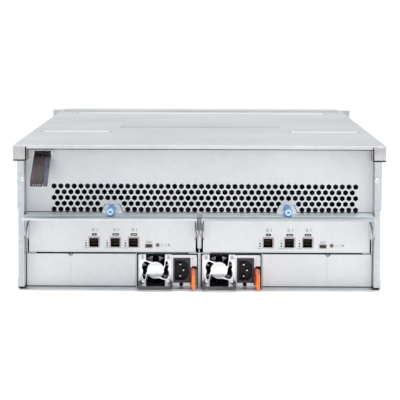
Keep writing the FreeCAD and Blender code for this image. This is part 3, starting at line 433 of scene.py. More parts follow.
def rivet_steel():
    """Bright swaged steel, dappled and faintly wiped."""
    material, tree, shader = new_material("rivet_steel", Metallic=1.0)
    zinc = place_group(tree, ZINC_PATCHES, Patch_Size=0.0012, Contrast=0.5)
    tone = ramp(tree, zinc.outputs["Tone"],
                ((0.0, (0.52, 0.54, 0.57, 1)), (1.0, (0.80, 0.81, 0.83, 1))))
    tree.links.new(tone, shader.inputs["Base Color"])
    wipe = place_group(tree, WIPE_MARKS, Amount=0.2)
    tree.links.new(combine(tree, "ADD", wipe.outputs["Smear"], 0.24), shader.inputs["Roughness"])
    return material


RIVET_STEEL = rivet_steel()

rivets = bmesh.new()
for side in (-1, 1):
    add_turned(rivets, (side * FLANGE_RIVET[0], BRACKET_LOW.y, FLANGE_RIVET[1]), (0, -1, 0),
               ring_rivet(RIVET, RIVET_RISE))
    for face, first, pitch, count, height, zigzag in RIVET_ROWS:
        for step in range(count):
            spot = (side * face, first + pitch * step, height + zigzag * (step % 2))
            add_turned(rivets, spot, (side, 0, 0), dome(RIVET, RIVET_RISE))
finish_piece("shell_rivets", rivets, RIVET_STEEL, "chassis")

# ---- side stiffening ribs ----------------------------------------------------------------------
# Each long side wall is stiffened by two shallow pressed ribs, and carries four round holes with
# rolled rims for the rack rails. All are pressed from the wall's own sheet.
RIB_WIDTH = 0.012
RIB_RISE = 0.0011
RIB_Y = (WALL_LOW.y + 0.105, 0.315)
RIB_HEIGHTS = (0.052, 0.110)
RAIL_HOLE = 0.0065
RAIL_HOLE_Y = WALL_LOW.y + 0.160
RAIL_HOLE_Z = 0.081
RAIL_HOLE_PITCH = 0.180
RAIL_HOLE_RIM = [(RAIL_HOLE + 0.0022, 0), (RAIL_HOLE + 0.0016, 0.0009), (RAIL_HOLE, 0.0011),
                 (RAIL_HOLE - 0.0006, 0.0004), (0, 0.0002)]


def add_rib(bm, side, y, z):
    """Long rounded rib standing out of a side wall between two (low, high) places."""
    middle_y = (y[0] + y[1]) / 2
    half = (y[1] - y[0]) / 2
    rows = []
    for rise, inset in ((0.0, 0.0), (0.65, 0.0016), (1.0, 0.0034)):
        radius = (z[1] - z[0]) / 2 - inset
        row = []
        for end in (1, -1):
            for step in range(9):
                angle = math.pi * (step / 8 - 0.5)
                across = end * radius * math.cos(angle)
                up = end * radius * math.sin(angle)
                spot = (side * (WALL_HIGH.x + RIB_RISE * rise), middle_y + end * (half - radius) + across,
                        (z[0] + z[1]) / 2 + up)
                row.append(bm.verts.new(spot))
        rows.append(row)
    count = len(rows[0])
    for near, far in zip(rows, rows[1:]):
        for step in range(count):
            following = (step + 1) % count
            bm.faces.new((near[step], near[following], far[following], far[step]))
    bm.faces.new(rows[-1])


ribs = bmesh.new()
for side in (-1, 1):
    for height in RIB_HEIGHTS:
        add_rib(ribs, side, RIB_Y, (height - RIB_WIDTH / 2, height + RIB_WIDTH / 2))
    for step in range(4):
        hole = (side * WALL_HIGH.x, RAIL_HOLE_Y + RAIL_HOLE_PITCH * step, RAIL_HOLE_Z)
        add_turned(ribs, hole, (side, 0, 0), RAIL_HOLE_RIM)
finish_piece("side_ribs", ribs, shell_steel, "chassis")

# ---- top rails ---------------------------------------------------------------------------------
# Two box rails carry the cover. Their closed ends face the rear, a little warmer in tone than the
# walls, with a thin black line painted as shade round the end cap where the folded sheet meets.
RAIL_LOW, RAIL_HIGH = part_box("top_rail_right")
rail_steel = zinc_sheet("rail_steel", (0.50, 0.485, 0.485, 1), (0.42, 0.405, 0.41, 1), 0.38, ALONG_Y,
                        lined=0.2)
dress(rail_steel, "top_rail_left", "top_rail_right")


def shade_strip_black():
    """Matt, closely pored black of the thin strips painted as shade in gaps, under lips and inside the fans.
    """
    material, tree, shader = new_material("shade_strip_black", Roughness=0.9, Specular_IOR_Level=0.1)
    pores = texture(tree, "TexNoise", Scale=2600.0, Detail=2.0)
    tone = ramp(tree, pores.outputs["Fac"], ((0.35, grey(0.006)), (0.65, grey(0.016))))
    tree.links.new(tone, shader.inputs["Base Color"])
    return material


def add_block(bm, low, high, bevel=0.0, segments=2):
    """Block between two corners with rounded edges."""
    made = bmesh.ops.create_cube(bm, size=1.0)["verts"]
    low = Vector(low)
    size = Vector(high) - low
    for vert in made:
        vert.co = Vector([low[i] + size[i] * (vert.co[i] + 0.5) for i in range(3)])
    if bevel > 0:
        edges = list(dict.fromkeys(edge for vert in made for edge in vert.link_edges))
        bmesh.ops.bevel(bm, geom=edges, offset=bevel, segments=segments, affect="EDGES", profile=0.5)


def add_sided(bm, side, x, y, z, bevel=0.0):
    """Block between (low, high) places along each axis, left of the middle for side -1."""
    near, far = sorted((side * x[0], side * x[1]))
    add_block(bm, (near, y[0], z[0]), (far, y[1], z[1]), bevel)


SHADE_BLACK = shade_strip_black()
caps = bmesh.new()
cap_shade_lines = bmesh.new()
# Thin black lines painted as shade round each end cap.
for side in (-1, 1):
    add_sided(cap_shade_lines, side, (RAIL_LOW.x + 0.0001, RAIL_HIGH.x - 0.0003),
              (RAIL_LOW.y - 0.0003, RAIL_LOW.y + 0.0002), (RAIL_LOW.z + 0.0001, RAIL_HIGH.z - 0.0008))
    add_sided(caps, side, (RAIL_LOW.x + 0.0016, RAIL_HIGH.x - 0.0004),
              (RAIL_LOW.y - 0.0007, RAIL_LOW.y - 0.0001), (RAIL_LOW.z + 0.0017, RAIL_HIGH.z - 0.0009),
              bevel=0.0002)
finish_piece("rail_end_shade_lines", cap_shade_lines, SHADE_BLACK, "chassis")
finish_piece("rail_end_caps", caps, rail_steel, "chassis")

# ---- cover -------------------------------------------------------------------------------------
# The lift-off cover is one sheet with a folded rear lip. Pressed beads stiffen it, two short and
# one long, each ending in a dimple. A shallow step lies between them, and a raised band runs along
# the front end.
COVER_LOW, COVER_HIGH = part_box("cover")
COVER_SHEET = 0.0012
COVER_TOP = RAIL_HIGH.z + COVER_SHEET
BEAD_HALF = 0.0052
SHORT_BEAD_X = (0.1210, 0.2100)
SHORT_BEAD_Y = COVER_LOW.y + 0.265
LONG_BEAD_X = (-0.192, 0.192)
LONG_BEAD_Y = COVER_LOW.y + 0.720
DIMPLE = [(0.0030, 0), (0.0022, 0.0003), (0, 0.0003)]
STEP_Y = COVER_LOW.y + 0.360
STEP_LONG = 0.287
STEP_HALF = 0.1115
BAND_HALF = 0.219
BAND_Y = (COVER_HIGH.y - 0.072, COVER_HIGH.y - 0.002)
COVER_RIVETS = (
    # across, lift, places along the cover
    (0.2160, 0.0, (COVER_LOW.y + 0.016, COVER_LOW.y + 0.14, COVER_LOW.y + 0.43, COVER_LOW.y + 0.60)),
    (0.2030, 0.0002, (COVER_HIGH.y - 0.058, COVER_HIGH.y - 0.016)),
)

cover_steel = zinc_sheet("cover_steel", (0.65, 0.66, 0.66, 1), (0.53, 0.54, 0.54, 1), 0.34, ALONG_X,
                         patches=0.18, lined=0.3)
dress(cover_steel, "cover")


def add_bead(bm, ends, y):
    """Half-round bead along X between two ends, each closed and rounded."""
    low_x, high_x = sorted(ends)
    rows = []
    rise = COVER_HIGH.z - COVER_TOP
    for x, share in ((low_x, 0.0), (low_x + 0.002, 0.8), (low_x + 0.004, 1.0),
                     (high_x - 0.004, 1.0), (high_x - 0.002, 0.8), (high_x, 0.0)):
        row = []
        for step in range(9):
            angle = math.pi * step / 8
            half = BEAD_HALF * (0.3 + 0.7 * share)
            row.append(bm.verts.new((x, y - half * math.cos(angle),
                                     COVER_TOP + rise * share * math.sin(angle))))
        rows.append(row)
    for near, far in zip(rows, rows[1:]):
        for step in range(8):
            bm.faces.new((near[step], far[step], far[step + 1], near[step + 1]))


beads = bmesh.new()
inner_end, outer_end = SHORT_BEAD_X
for side in (-1, 1):
    add_bead(beads, (side * inner_end, side * outer_end), SHORT_BEAD_Y)
add_bead(beads, LONG_BEAD_X, LONG_BEAD_Y)
# The beads' near-white colour is a painted highlight on their sloping faces.
highlight_bead_steel = zinc_sheet("highlight_bead_steel", grey(0.98), grey(0.94), 0.45, ALONG_X, patches=0.05, wipes=0.1)
finish_piece("cover_beads", beads, highlight_bead_steel, "cover")


def shadow_steel():
    """Steel at the bottom of a pressed dimple or seam, painted dark as the shade there."""
    material, tree, shader = new_material("shadow_steel", Roughness=0.6, Metallic=0.6)
    grain = place_group(tree, ROLLED_GRAIN, Lines=ALONG_X)
    tone = ramp(tree, grain.outputs["Tone"], ((0.2, grey(0.06)), (0.8, grey(0.13))))
    tree.links.new(tone, shader.inputs["Base Color"])
    return material


SHADOW_STEEL = shadow_steel()
# The dimples are painted dark as shade.
dimples = bmesh.new()
for x in (-outer_end, -inner_end, inner_end, outer_end):
    add_turned(dimples, (x, SHORT_BEAD_Y, COVER_TOP), (0, 0, 1), DIMPLE)
for x in LONG_BEAD_X:
    add_turned(dimples, (x, LONG_BEAD_Y, COVER_TOP), (0, 0, 1), DIMPLE)
finish_piece("cover_dimples", dimples, SHADOW_STEEL, "cover")

cover_parts = bmesh.new()
add_block(cover_parts, (-STEP_HALF, STEP_Y, COVER_TOP - 0.0002),
          (STEP_HALF, STEP_Y + STEP_LONG, COVER_TOP + 0.0006), bevel=0.0005)
add_block(cover_parts, (-BAND_HALF, BAND_Y[0], COVER_TOP - 0.0002),
          (BAND_HALF, BAND_Y[1], COVER_TOP + 0.0007), bevel=0.0006)
finish_piece("cover_steps", cover_parts, cover_steel, "cover")

# A black strip along the lip's lower edge, painted as the shadow under the lip.
lip_shadow_line = bmesh.new()
add_block(lip_shadow_line, (-RAIL_LOW.x + 0.0004, COVER_LOW.y + 0.0001, COVER_LOW.z - 0.0009),
          (RAIL_LOW.x - 0.0004, COVER_LOW.y + 0.0011, COVER_LOW.z + 0.0002))
finish_piece("cover_lip_shadow_line", lip_shadow_line, SHADE_BLACK, "cover")

cover_rivets = bmesh.new()
for side in (-1, 1):
    for across, lift, places in COVER_RIVETS:
        for y in places:
            spot = (side * across, y, COVER_TOP + lift)
            add_turned(cover_rivets, spot, (0, 0, 1), dome(0.0024, 0.0006))
finish_piece("cover_rivets", cover_rivets, RIVET_STEEL, "cover")

# ---- inner sheets ------------------------------------------------------------------------------
# Module shelf, fan deck, centre divider and drive cage are plain zinc sheet, duller than the
# outside and more marked by handling, because nobody sees them once the shelf is closed.
inner_steel = zinc_sheet("inner_steel", (0.60, 0.61, 0.62, 1), (0.44, 0.45, 0.47, 1), 0.44, ALONG_X,
                         patches=0.5, wipes=0.8)
dress(inner_steel, "module_shelf", "fan_deck", "centre_divider", "drive_cage")

# ---- bay edges ---------------------------------------------------------------------------------
# The bays show their edges beside the modules: folded strips of the bright panel sheet in the
# middle and at the sides, and thin black lines painted as shade where modules, shelf and blank plates meet.
panel_steel = zinc_sheet("panel_steel", (0.69, 0.695, 0.705, 1), (0.56, 0.565, 0.58, 1), 0.42, ALONG_X,
                         edge=0.0003, patches=0.12, wipes=0.25, lined=0.15)
PANEL_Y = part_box("vent_panel")[0].y
PANEL_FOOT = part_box("fan_deck")[0].z
SHELF_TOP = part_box("module_shelf")[1].z
PLATE_LOW, PLATE_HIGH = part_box("blank_plates_right")
BAY_HALF = PLATE_HIGH.x + 0.0003
STRIP_HALF = 0.0025
SHADE_LINE_Y = (PANEL_Y - 0.0003, PANEL_Y + 0.0002)
SHADE_LINES = (
    # across, height
    ((0.0132, 0.1980), (SHELF_TOP - 0.0009, SHELF_TOP + 0.0003)),
    ((PLATE_LOW.x, BAY_HALF - 0.0003), (PLATE_HIGH.z - 0.0001, PLATE_HIGH.z + 0.0004)),
    ((PLATE_LOW.x, BAY_HALF - 0.0003), (PLATE_LOW.z - 0.0003, PLATE_LOW.z + 0.0006)),
    ((BAY_HALF - 0.0009, BAY_HALF - 0.0001), (PLATE_LOW.z, PLATE_HIGH.z)),
    ((0.0030, BAY_HALF - 0.0020), (PANEL_FOOT + 0.0010, PANEL_FOOT + 0.0019)),
    ((0.1960, 0.1985), (SHELF_TOP - 0.0011, SHELF_TOP + 0.0002)),
)
strips = bmesh.new()
add_block(strips, (-STRIP_HALF, PANEL_Y + 0.0002, SHELF_TOP + 0.0050),
          (STRIP_HALF, PANEL_Y + 0.0014, PANEL_FOOT - 0.0070), bevel=0.0004)
for side in (-1, 1):
    add_sided(strips, side, (BAY_HALF - 0.0018, BAY_HALF - 0.0002), (PANEL_Y + 0.0002, PANEL_Y + 0.0012),
              (SHELF_TOP + 0.0002, PANEL_FOOT - 0.0004), bevel=0.0003)
finish_piece("bay_edge_strips", strips, panel_steel, "chassis")

# Thin black strips painted as the shade in the gaps between parts.
shade_lines = bmesh.new()
for side in (-1, 1):
    for across, height in SHADE_LINES:
        add_sided(shade_lines, side, across, SHADE_LINE_Y, height)
finish_piece("bay_shade_lines", shade_lines, SHADE_BLACK, "chassis")

# ---- vent panel --------------------------------------------------------------------------------
# The wide rear panel is satin zinc sheet, the brightest of the shell, punched with a field of
# hexagons whose rims catch the light and carry a pale painted highlight.
dress(panel_steel, "vent_panel")

# ---- system fans -------------------------------------------------------------------------------
# Five square fans stand behind the vent field. Frames and rotors are moulded in black glass-filled
# plastic with a fine matt grain, and their edges are painted a little paler as a highlight.


def moulded_grain_group():
    """Fine spark-eroded grain of a moulded surface, and faint flow shading."""
    group, enter, leave = new_group(
        "moulded_grain",
        [("Grain Size", "Float", 0.0006), ("Depth", "Float", 1.0)],
        [("Tone", "Float"), ("Height", "Float")])
    grain = texture(group, "TexNoise", Detail=3.0, Roughness=0.7)
    flow = texture(group, "TexNoise", Scale=45.0, Detail=2.0)
    link = group.links.new
    link(combine(group, "DIVIDE", 1.0, enter.outputs["Grain Size"]), grain.inputs["Scale"])
    link(flow.outputs["Fac"], leave.inputs["Tone"])
    link(combine(group, "MULTIPLY", grain.outputs["Fac"], enter.outputs["Depth"]), leave.inputs["Height"])
    return group


MOULDED_GRAIN = moulded_grain_group()


def moulded_plastic(name, light, dark, roughness, edge_light, grain=0.0006, bump=0.25, shine=0.5):
    """Grained plastic with flow shading, and edges painted paler, as wear and as a highlight."""
    material, tree, shader = new_material(name, Specular_IOR_Level=shine)
    mould = place_group(tree, MOULDED_GRAIN, Grain_Size=grain)
    press = place_group(tree, PRESSED_EDGE, Radius=0.0005)
    tone = ramp(tree, mould.outputs["Tone"], ((0.3, dark), (0.7, light)))
    # Edges are painted in the paler edge colour: wear, and a painted highlight.
    edge_wear_and_highlight(tree, shader, tone, press, edge_light)
    rough = combine(tree, "MULTIPLY_ADD", mould.outputs["Height"], 0.2, roughness - 0.1)
    tree.links.new(rough, shader.inputs["Roughness"])
    emboss(tree, shader, mould.outputs["Height"], bump, 0.0001, press)
    return material


fan_black = moulded_plastic("fan_black", (0.012, 0.008, 0.014, 1), (0.006, 0.004, 0.008, 1), 0.6,
                            grey(0.03), shine=0.2)
deep_black = moulded_plastic("deep_black", (0.010, 0.006, 0.010, 1), (0.005, 0.003, 0.005, 1), 0.85,
                             (0.020, 0.014, 0.020, 1), shine=0.05)
for number in range(1, 6):
    dress(fan_black, "fan_rotor_%d" % number)
dress(deep_black, "fan_frames", "psu_a_rotor", "psu_b_rotor", "psu_a_fan_frame", "psu_b_fan_frame")

# ---- release lever -----------------------------------------------------------------------------
# The black lever at the upper left is moulded: a sloping beam stiffened by ribs, with a slate side
# flange, its paler bluer tone painted as the light on that side, and finger ridges painted pale as
# highlights. It hangs on a plated pin between two steel ears.
lever_plastic = moulded_plastic("lever_plastic", (0.050, 0.035, 0.039, 1), (0.031, 0.021, 0.025, 1), 0.42,
                                (0.14, 0.12, 0.13, 1))
lit_side_plastic = moulded_plastic("lit_side_plastic", (0.080, 0.080, 0.118, 1), (0.052, 0.052, 0.080, 1), 0.38,
                                (0.16, 0.16, 0.21, 1))
ridge_highlight_plastic = moulded_plastic("ridge_highlight_plastic", (0.55, 0.55, 0.60, 1), (0.25, 0.24, 0.28, 1), 0.22,
                                 (0.70, 0.70, 0.75, 1))
LEVER_LOW, LEVER_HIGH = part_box("release_lever")
LEVER_SPLIT = LEVER_HIGH.x - 0.0056
LEVER_PIVOT = Vector((0, PANEL_Y - 0.0060, 0.1634))
LEVER_TIP = Vector((0, LEVER_PIVOT.y - 0.0620, LEVER_PIVOT.z - 0.0310))
LEVER_FALL = (LEVER_PIVOT.z - LEVER_TIP.z) / (LEVER_PIVOT.y - LEVER_TIP.y)
LEVER_EYE = [(0.0, 0.0), (0.0030, 0.0), (0.0034, 0.0005), (0.0034, 0.0190), (0.0, 0.0190)]
LEVER_RIB = 0.0010
LEVER_RIB_PITCH = 0.0034
LEVER_RIDGE = 0.0012
LEVER_RIDGE_PITCH = 0.0026


def add_bar(bm, profile, left, right, bevel):
    """Straight bar along X with a closed (y, z) profile and rounded edges."""
    ends = [[bm.verts.new((x, y, z)) for y, z in profile] for x in (left, right)]
    faces = [bm.faces.new(ends[0][::-1]), bm.faces.new(ends[1])]
    for index in range(len(profile)):
        following = (index + 1) % len(profile)
        corners = (ends[0][index], ends[0][following], ends[1][following], ends[1][index])
        faces.append(bm.faces.new(corners))
    edges = list(dict.fromkeys(edge for face in faces for edge in face.edges))
    bmesh.ops.recalc_face_normals(bm, faces=faces)
    bmesh.ops.bevel(bm, geom=edges, offset=bevel, segments=2, affect="EDGES", profile=0.5,
                    clamp_overlap=True)


def lever_profile(rise, depth, short):
    """Sloping beam from the pivot eye to the tip: rise above the line, depth below it."""
    toe, heel, taper = 0.0080, 0.0040, 0.0006
    near, far = LEVER_PIVOT.y + 0.0030, LEVER_TIP.y + short
    low = LEVER_TIP.z + short * LEVER_FALL
    return [(near, LEVER_PIVOT.z + rise), (far, low + rise), (far, low - depth),
            (far + toe, low - depth + toe * LEVER_FALL - taper), (near - 2 * heel, LEVER_PIVOT.z - heel),
            (near, LEVER_PIVOT.z - heel)]


lever_beam = bmesh.new()
add_bar(lever_beam, lever_profile(rise=0.0035, depth=0.0032, short=0.0), LEVER_LOW.x - 0.0004,
        LEVER_SPLIT, 0.0005)
add_turned(lever_beam, (LEVER_LOW.x, LEVER_PIVOT.y, LEVER_PIVOT.z), (1, 0, 0), LEVER_EYE)
for step in range(4):
    across = LEVER_LOW.x + 0.0016 + LEVER_RIB_PITCH * step
    add_bar(lever_beam, lever_profile(rise=0.0038, depth=-0.0020, short=0.0030), across,
            across + LEVER_RIB, 0.0002)
lever_form = finish_piece("release_lever_form", lever_beam, lever_plastic, "release_lever",
                          smooth=40)
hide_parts("release_lever")

# The side flange is painted paler and bluer as the light on that side.
lever_side = bmesh.new()
add_bar(lever_side, lever_profile(rise=0.0026, depth=0.0034, short=0.0004), LEVER_SPLIT + 0.0007,
        LEVER_HIGH.x, 0.0005)
finish_piece("release_lever_flange", lever_side, lit_side_plastic, "release_lever", smooth=40)

# The finger ridges are painted pale as highlights.
lever_grip = bmesh.new()
for step in range(4):
    across = LEVER_LOW.x + 0.0030 + LEVER_RIDGE_PITCH * step
    height = LEVER_TIP.z + 0.0007 * (step % 2)
    add_block(lever_grip, (across, LEVER_TIP.y - 0.0004, height - 0.0020),
              (across + LEVER_RIDGE, LEVER_TIP.y + 0.0010, height - 0.0006), bevel=0.0002)
finish_piece("release_lever_grip", lever_grip, ridge_highlight_plastic, "release_lever")

pin_steel = zinc_sheet("pin_steel", (0.70, 0.70, 0.71, 1), (0.55, 0.55, 0.56, 1), 0.26, ALONG_X, patches=0.1)
dress(pin_steel, "lever_bracket", "io_a_pivots", "io_b_pivots")

# ---- circuit boards ----------------------------------------------------------------------------
# Boards are glass laminate under green lacquer, with copper tracks that show as paler lines, and
# chips soldered in rows. The drive board carries one socket rail for each row of drives.
DRIVE_ROWS = 5
DRIVE_COLUMNS = 12
CHIP_COLUMN_PITCH = 0.034
CHIP_ROW_PITCH = 0.108
MIDPLANE_CHIPS = 22
MIDPLANE_CHIP_PITCH = 0.0185
MIDPLANE_CHIP_Z = 0.010


def track_group():
    """Straight printed tracks in two directions under the lacquer."""
    group, enter, leave = new_group("printed_tracks", [("Pitch", "Float", 0.0016)], [("Track", "Float")])
    link = group.links.new
    lines_per_metre = combine(group, "DIVIDE", 1.0, enter.outputs["Pitch"])
    areas = texture(group, "TexVoronoi", {"distance": "MANHATTAN"}, Scale=55.0)
    split = add_node(group, "SeparateColor")
    link(areas.outputs["Color"], split.inputs[0])
    either = add_node(group, "Mix", {"data_type": "FLOAT"})
    link(combine(group, "GREATER_THAN", split.outputs[0], 0.5), either.inputs["Factor"])
    for direction, end in (("X", "A"), ("Y", "B")):
        wave = texture(group, "TexWave", {"wave_type": "BANDS", "bands_direction": direction})
        link(lines_per_metre, wave.inputs["Scale"])
        link(wave.outputs["Fac"], either.inputs[end])
    link(combine(group, "GREATER_THAN", either.outputs["Result"], 0.72), leave.inputs["Track"])
    return group


PRINTED_TRACKS = track_group()


def board_lacquer():
    """Green lacquer over laminate and tracks."""
    material, tree, shader = new_material("board_green", Roughness=0.3, Coat_Weight=0.4)
    tracks = place_group(tree, PRINTED_TRACKS)
    tone = ramp(tree, tracks.outputs["Track"],
                ((0.0, (0.010, 0.070, 0.035, 1)), (1.0, (0.030, 0.16, 0.08, 1))))
    tree.links.new(tone, shader.inputs["Base Color"])
    emboss(tree, shader, tracks.outputs["Track"], 0.3, 0.00005)
    return material


dress(board_lacquer(), "midplane", "drive_board", "io_a_board", "io_b_board")

chip_black = moulded_plastic("chip_black", grey(0.035), grey(0.022), 0.45, grey(0.05), grain=0.0003)

board_low, board_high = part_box("drive_board")
chips = bmesh.new()
for row in range(DRIVE_ROWS):
    y = board_low.y + 0.0626 + CHIP_ROW_PITCH * row
    for column in range(DRIVE_COLUMNS):
        x = (column - 5.5) * CHIP_COLUMN_PITCH
        add_block(chips, (x - 0.0045, y + 0.0215, board_high.z - 0.0079),
                  (x + 0.0045, y + 0.0275, board_high.z - 0.0035), bevel=0.0004)
finish_piece("drive_board_chips", chips, chip_black, "chassis")

board_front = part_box("midplane")[1].y
parts = bmesh.new()
for step in range(MIDPLANE_CHIPS):
    x = -0.195 + step * MIDPLANE_CHIP_PITCH
    add_block(parts, (x, board_front - 0.0001, MIDPLANE_CHIP_Z),
              (x + 0.006, board_front + 0.0022, MIDPLANE_CHIP_Z + 0.008), bevel=0.0004)
finish_piece("midplane_chips", parts, chip_black, "chassis")

# ---- disk drives -------------------------------------------------------------------------------
# Sixty upright drives stand in five rows. Each has a cast dark alloy body, a bright lid on one
# broad side, a bare pale label, and a handling frame round its top.


def cast_alloy():
    """Cast alloy with a fine sand skin."""
    material, tree, shader = new_material("drive_metal", Roughness=0.5, Metallic=0.85)
    skin = place_group(tree, MOULDED_GRAIN, Grain_Size=0.0009)
    press = place_group(tree, PRESSED_EDGE, Radius=0.0012)
    tone = ramp(tree, skin.outputs["Tone"], ((0.3, grey(0.24)), (0.7, grey(0.36))))
    # Sharp edges are painted pale grey as a highlight and as wear.
    edge_wear_and_highlight(tree, shader, tone, press, grey(0.6))
    emboss(tree, shader, skin.outputs["Height"], 0.3, 0.0001, press)
    return material


dress(cast_alloy(), "disk_drives")
DRIVES_LOW, DRIVES_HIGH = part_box("disk_drives")
DRIVE_THICK = 0.0261
DRIVE_WIDE = 0.1016
DRIVE_PITCH = (DRIVES_HIGH.x - DRIVES_LOW.x - DRIVE_THICK) / (DRIVE_COLUMNS - 1)
ROW_PITCH = (DRIVES_HIGH.y - DRIVES_LOW.y - DRIVE_WIDE) / (DRIVE_ROWS - 1)
FRAME_HALF = 0.0122
FRAME_BAR = 0.0020
FRAME_REACH = 0.0450
LABEL_HALF = 0.0085
LID_HALF = 0.0485

label_paper = moulded_plastic("label_paper", grey(0.72), grey(0.66), 0.7, grey(0.8), grain=0.0004, bump=0.1)
frames = bmesh.new()
lids = bmesh.new()
labels = bmesh.new()
top = DRIVES_HIGH.z
for row in range(DRIVE_ROWS):
    y = DRIVES_LOW.y + DRIVE_WIDE / 2 + row * ROW_PITCH
    for column in range(DRIVE_COLUMNS):
        x = DRIVES_LOW.x + DRIVE_THICK / 2 + column * DRIVE_PITCH
        for side in (-1, 1):
            end = y + side * (DRIVE_WIDE / 2 - 0.0058)
            near, far = sorted((end, end + side * 0.005))
            add_block(frames, (x - FRAME_HALF, near, top - 0.0004), (x + FRAME_HALF, far, top + 0.0012),
                      bevel=0.0005, segments=1)
        for low_x in (x - FRAME_HALF, x + FRAME_HALF - FRAME_BAR):
            add_block(frames, (low_x, y - FRAME_REACH, top - 0.0004),
                      (low_x + FRAME_BAR, y + FRAME_REACH, top + 0.0010))
        add_block(labels, (x - LABEL_HALF, y - 0.0300, top - 0.0002),
                  (x + LABEL_HALF, y + 0.0220, top + 0.0003))
        add_block(lids, (x + DRIVE_THICK / 2 - 0.0002, y - LID_HALF, DRIVES_LOW.z + 0.004),
                  (x + DRIVE_THICK / 2 + 0.0006, y + LID_HALF, top - 0.004))
finish_piece("drive_top_frames", frames, fan_black, "chassis")
finish_piece("drive_labels", labels, label_paper, "chassis")
finish_piece("drive_lids", lids, pin_steel, "chassis")

# ---- I/O module trays and faces ----------------------------------------------------------------
# Two identical modules, side by side. Each has a folded tray, and a satin plated face that is cut
# out for three cable ports and two service sockets and marked with small bare printed signs.
lever_steel = zinc_sheet("lever_steel", (0.72, 0.745, 0.755, 1), (0.58, 0.605, 0.62, 1), 0.34, ALONG_X)
dress(lever_steel, "io_a_tray", "io_b_tray")
face_steel = zinc_sheet("face_steel", (0.76, 0.765, 0.775, 1), (0.66, 0.665, 0.68, 1), 0.40, ALONG_X,
                        edge=0.0004, patches=0.18, wipes=0.3, lined=0.15)
dress(face_steel, "io_a_face", "io_b_face", "blank_plates_left", "blank_plates_right")
FACE_LOW, FACE_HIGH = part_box("io_a_face")
FACE_Y = FACE_LOW.y
MODULE_X = abs(FACE_LOW.x + FACE_HIGH.x) / 2
MOUNTS = {mount["name"]: Vector(mount["pos_m"]) for mount in frame["record"]["mounts"]}
LETTERS = (("a", -1), ("b", 1))
INK_THICK = 0.00012
INK_LINE = 0.0006
INK_PITCH = 0.0014
TAG_RISE = 0.0098
TAG_TALL = 0.0031
TAG_WIDE = {1: 0.0064, 2: 0.0084, 3: 0.0084}
SIGN_AWAY = 0.0098
SEAM_X = (PLATE_LOW.x + BAY_HALF) / 2 + 0.0122
SEAM_HALF = 0.0010
seam_backs = bmesh.new()
for side in (-1, 1):
    add_block(seam_backs, (side * SEAM_X - SEAM_HALF, FACE_Y + 0.0003, PLATE_LOW.z),
              (side * SEAM_X + SEAM_HALF, FACE_Y + 0.0010, PLATE_HIGH.z - 0.0030))
finish_piece("blank_seam_backs", seam_backs, face_steel, "chassis")


def print_ink(name, light, dark):
    """Screen-printed ink with a slightly uneven lay."""
    material, tree, shader = new_material(name, Roughness=0.5)
    lay = place_group(tree, MOULDED_GRAIN, Grain_Size=0.0003)
    tone = ramp(tree, lay.outputs["Height"], ((0.3, dark), (0.7, light)))
    tree.links.new(tone, shader.inputs["Base Color"])
    return material


ink_black = print_ink("ink_black", grey(0.035), grey(0.012))
ink_grey = print_ink("ink_grey", (0.30, 0.31, 0.34, 1), (0.22, 0.23, 0.26, 1))
ink_white = print_ink("ink_white", grey(0.85), grey(0.70))


def add_patch(bm, x, z, width, height, y, radius=0.0, turn=0.0, thick=INK_THICK):
    """Flat printed patch with rounded corners, standing on a face that looks along -Y."""
    outline = []
    radius = max(min(radius, width / 2, height / 2), 1e-5)
    for corner_x, corner_z, start in ((1, 1, 0), (-1, 1, 90), (-1, -1, 180), (1, -1, 270)):
        for step in range(5):
            angle = math.radians(start + 22.5 * step)
            outline.append((corner_x * (width / 2 - radius) + radius * math.cos(angle),
                            corner_z * (height / 2 - radius) + radius * math.sin(angle)))
    rows = []
    for depth in (0.0, thick):
        row = []
        for across, up in outline:
            spot = Vector((across, up)) if turn == 0 else Matrix.Rotation(turn, 2) @ Vector((across, up))
            row.append(bm.verts.new((x + spot.x, y - depth, z + spot.y)))
        rows.append(row)
    count = len(outline)
    for step in range(count):
        following = (step + 1) % count
        bm.faces.new((rows[0][step], rows[0][following], rows[1][following], rows[1][step]))
    bm.faces.new(rows[1])


def port_signs(port, number, black, pale, light):
    """Black tag with its marks over a port, and small signs over it and at its left."""
    tag_x, tag_z = port.x + 0.0005, port.z + TAG_RISE
    sign_x = port.x - SIGN_AWAY
    add_patch(black, tag_x, tag_z, TAG_WIDE[number], TAG_TALL, FACE_Y, 0.0014)
    if number == 1:
        add_patch(light, tag_x, tag_z, 0.0012, 0.0012, FACE_Y, turn=math.pi / 4, thick=2 * INK_THICK)
    else:
        for step in (-1, 0, 1):
            add_patch(light, tag_x + 0.0018 * step, tag_z, 0.0011, 0.0010, FACE_Y, 0.0002,
                      thick=2 * INK_THICK)
    for line in range(3):
        add_patch(pale, port.x - 0.0008, port.z + 0.0142 + INK_PITCH * line, 0.0034, INK_LINE, FACE_Y)
    add_patch(pale, port.x + 0.0038, port.z + 0.0156, 0.0007, 0.0038, FACE_Y, 0.0003)
    for drop in (0.0008, 0.0040):
        add_patch(black, sign_x, port.z - drop, 0.0020, 0.0020, FACE_Y, 0.0008)
    add_patch(pale, sign_x, port.z + 0.0026, 0.0034, 0.0005, FACE_Y)
    add_patch(pale, sign_x, port.z - 0.0068, 0.0050, 0.0005, FACE_Y)
    for end in (-1, 1):
        add_patch(pale, sign_x + end * 0.0025, port.z - 0.0062, 0.0005, 0.0014, FACE_Y)


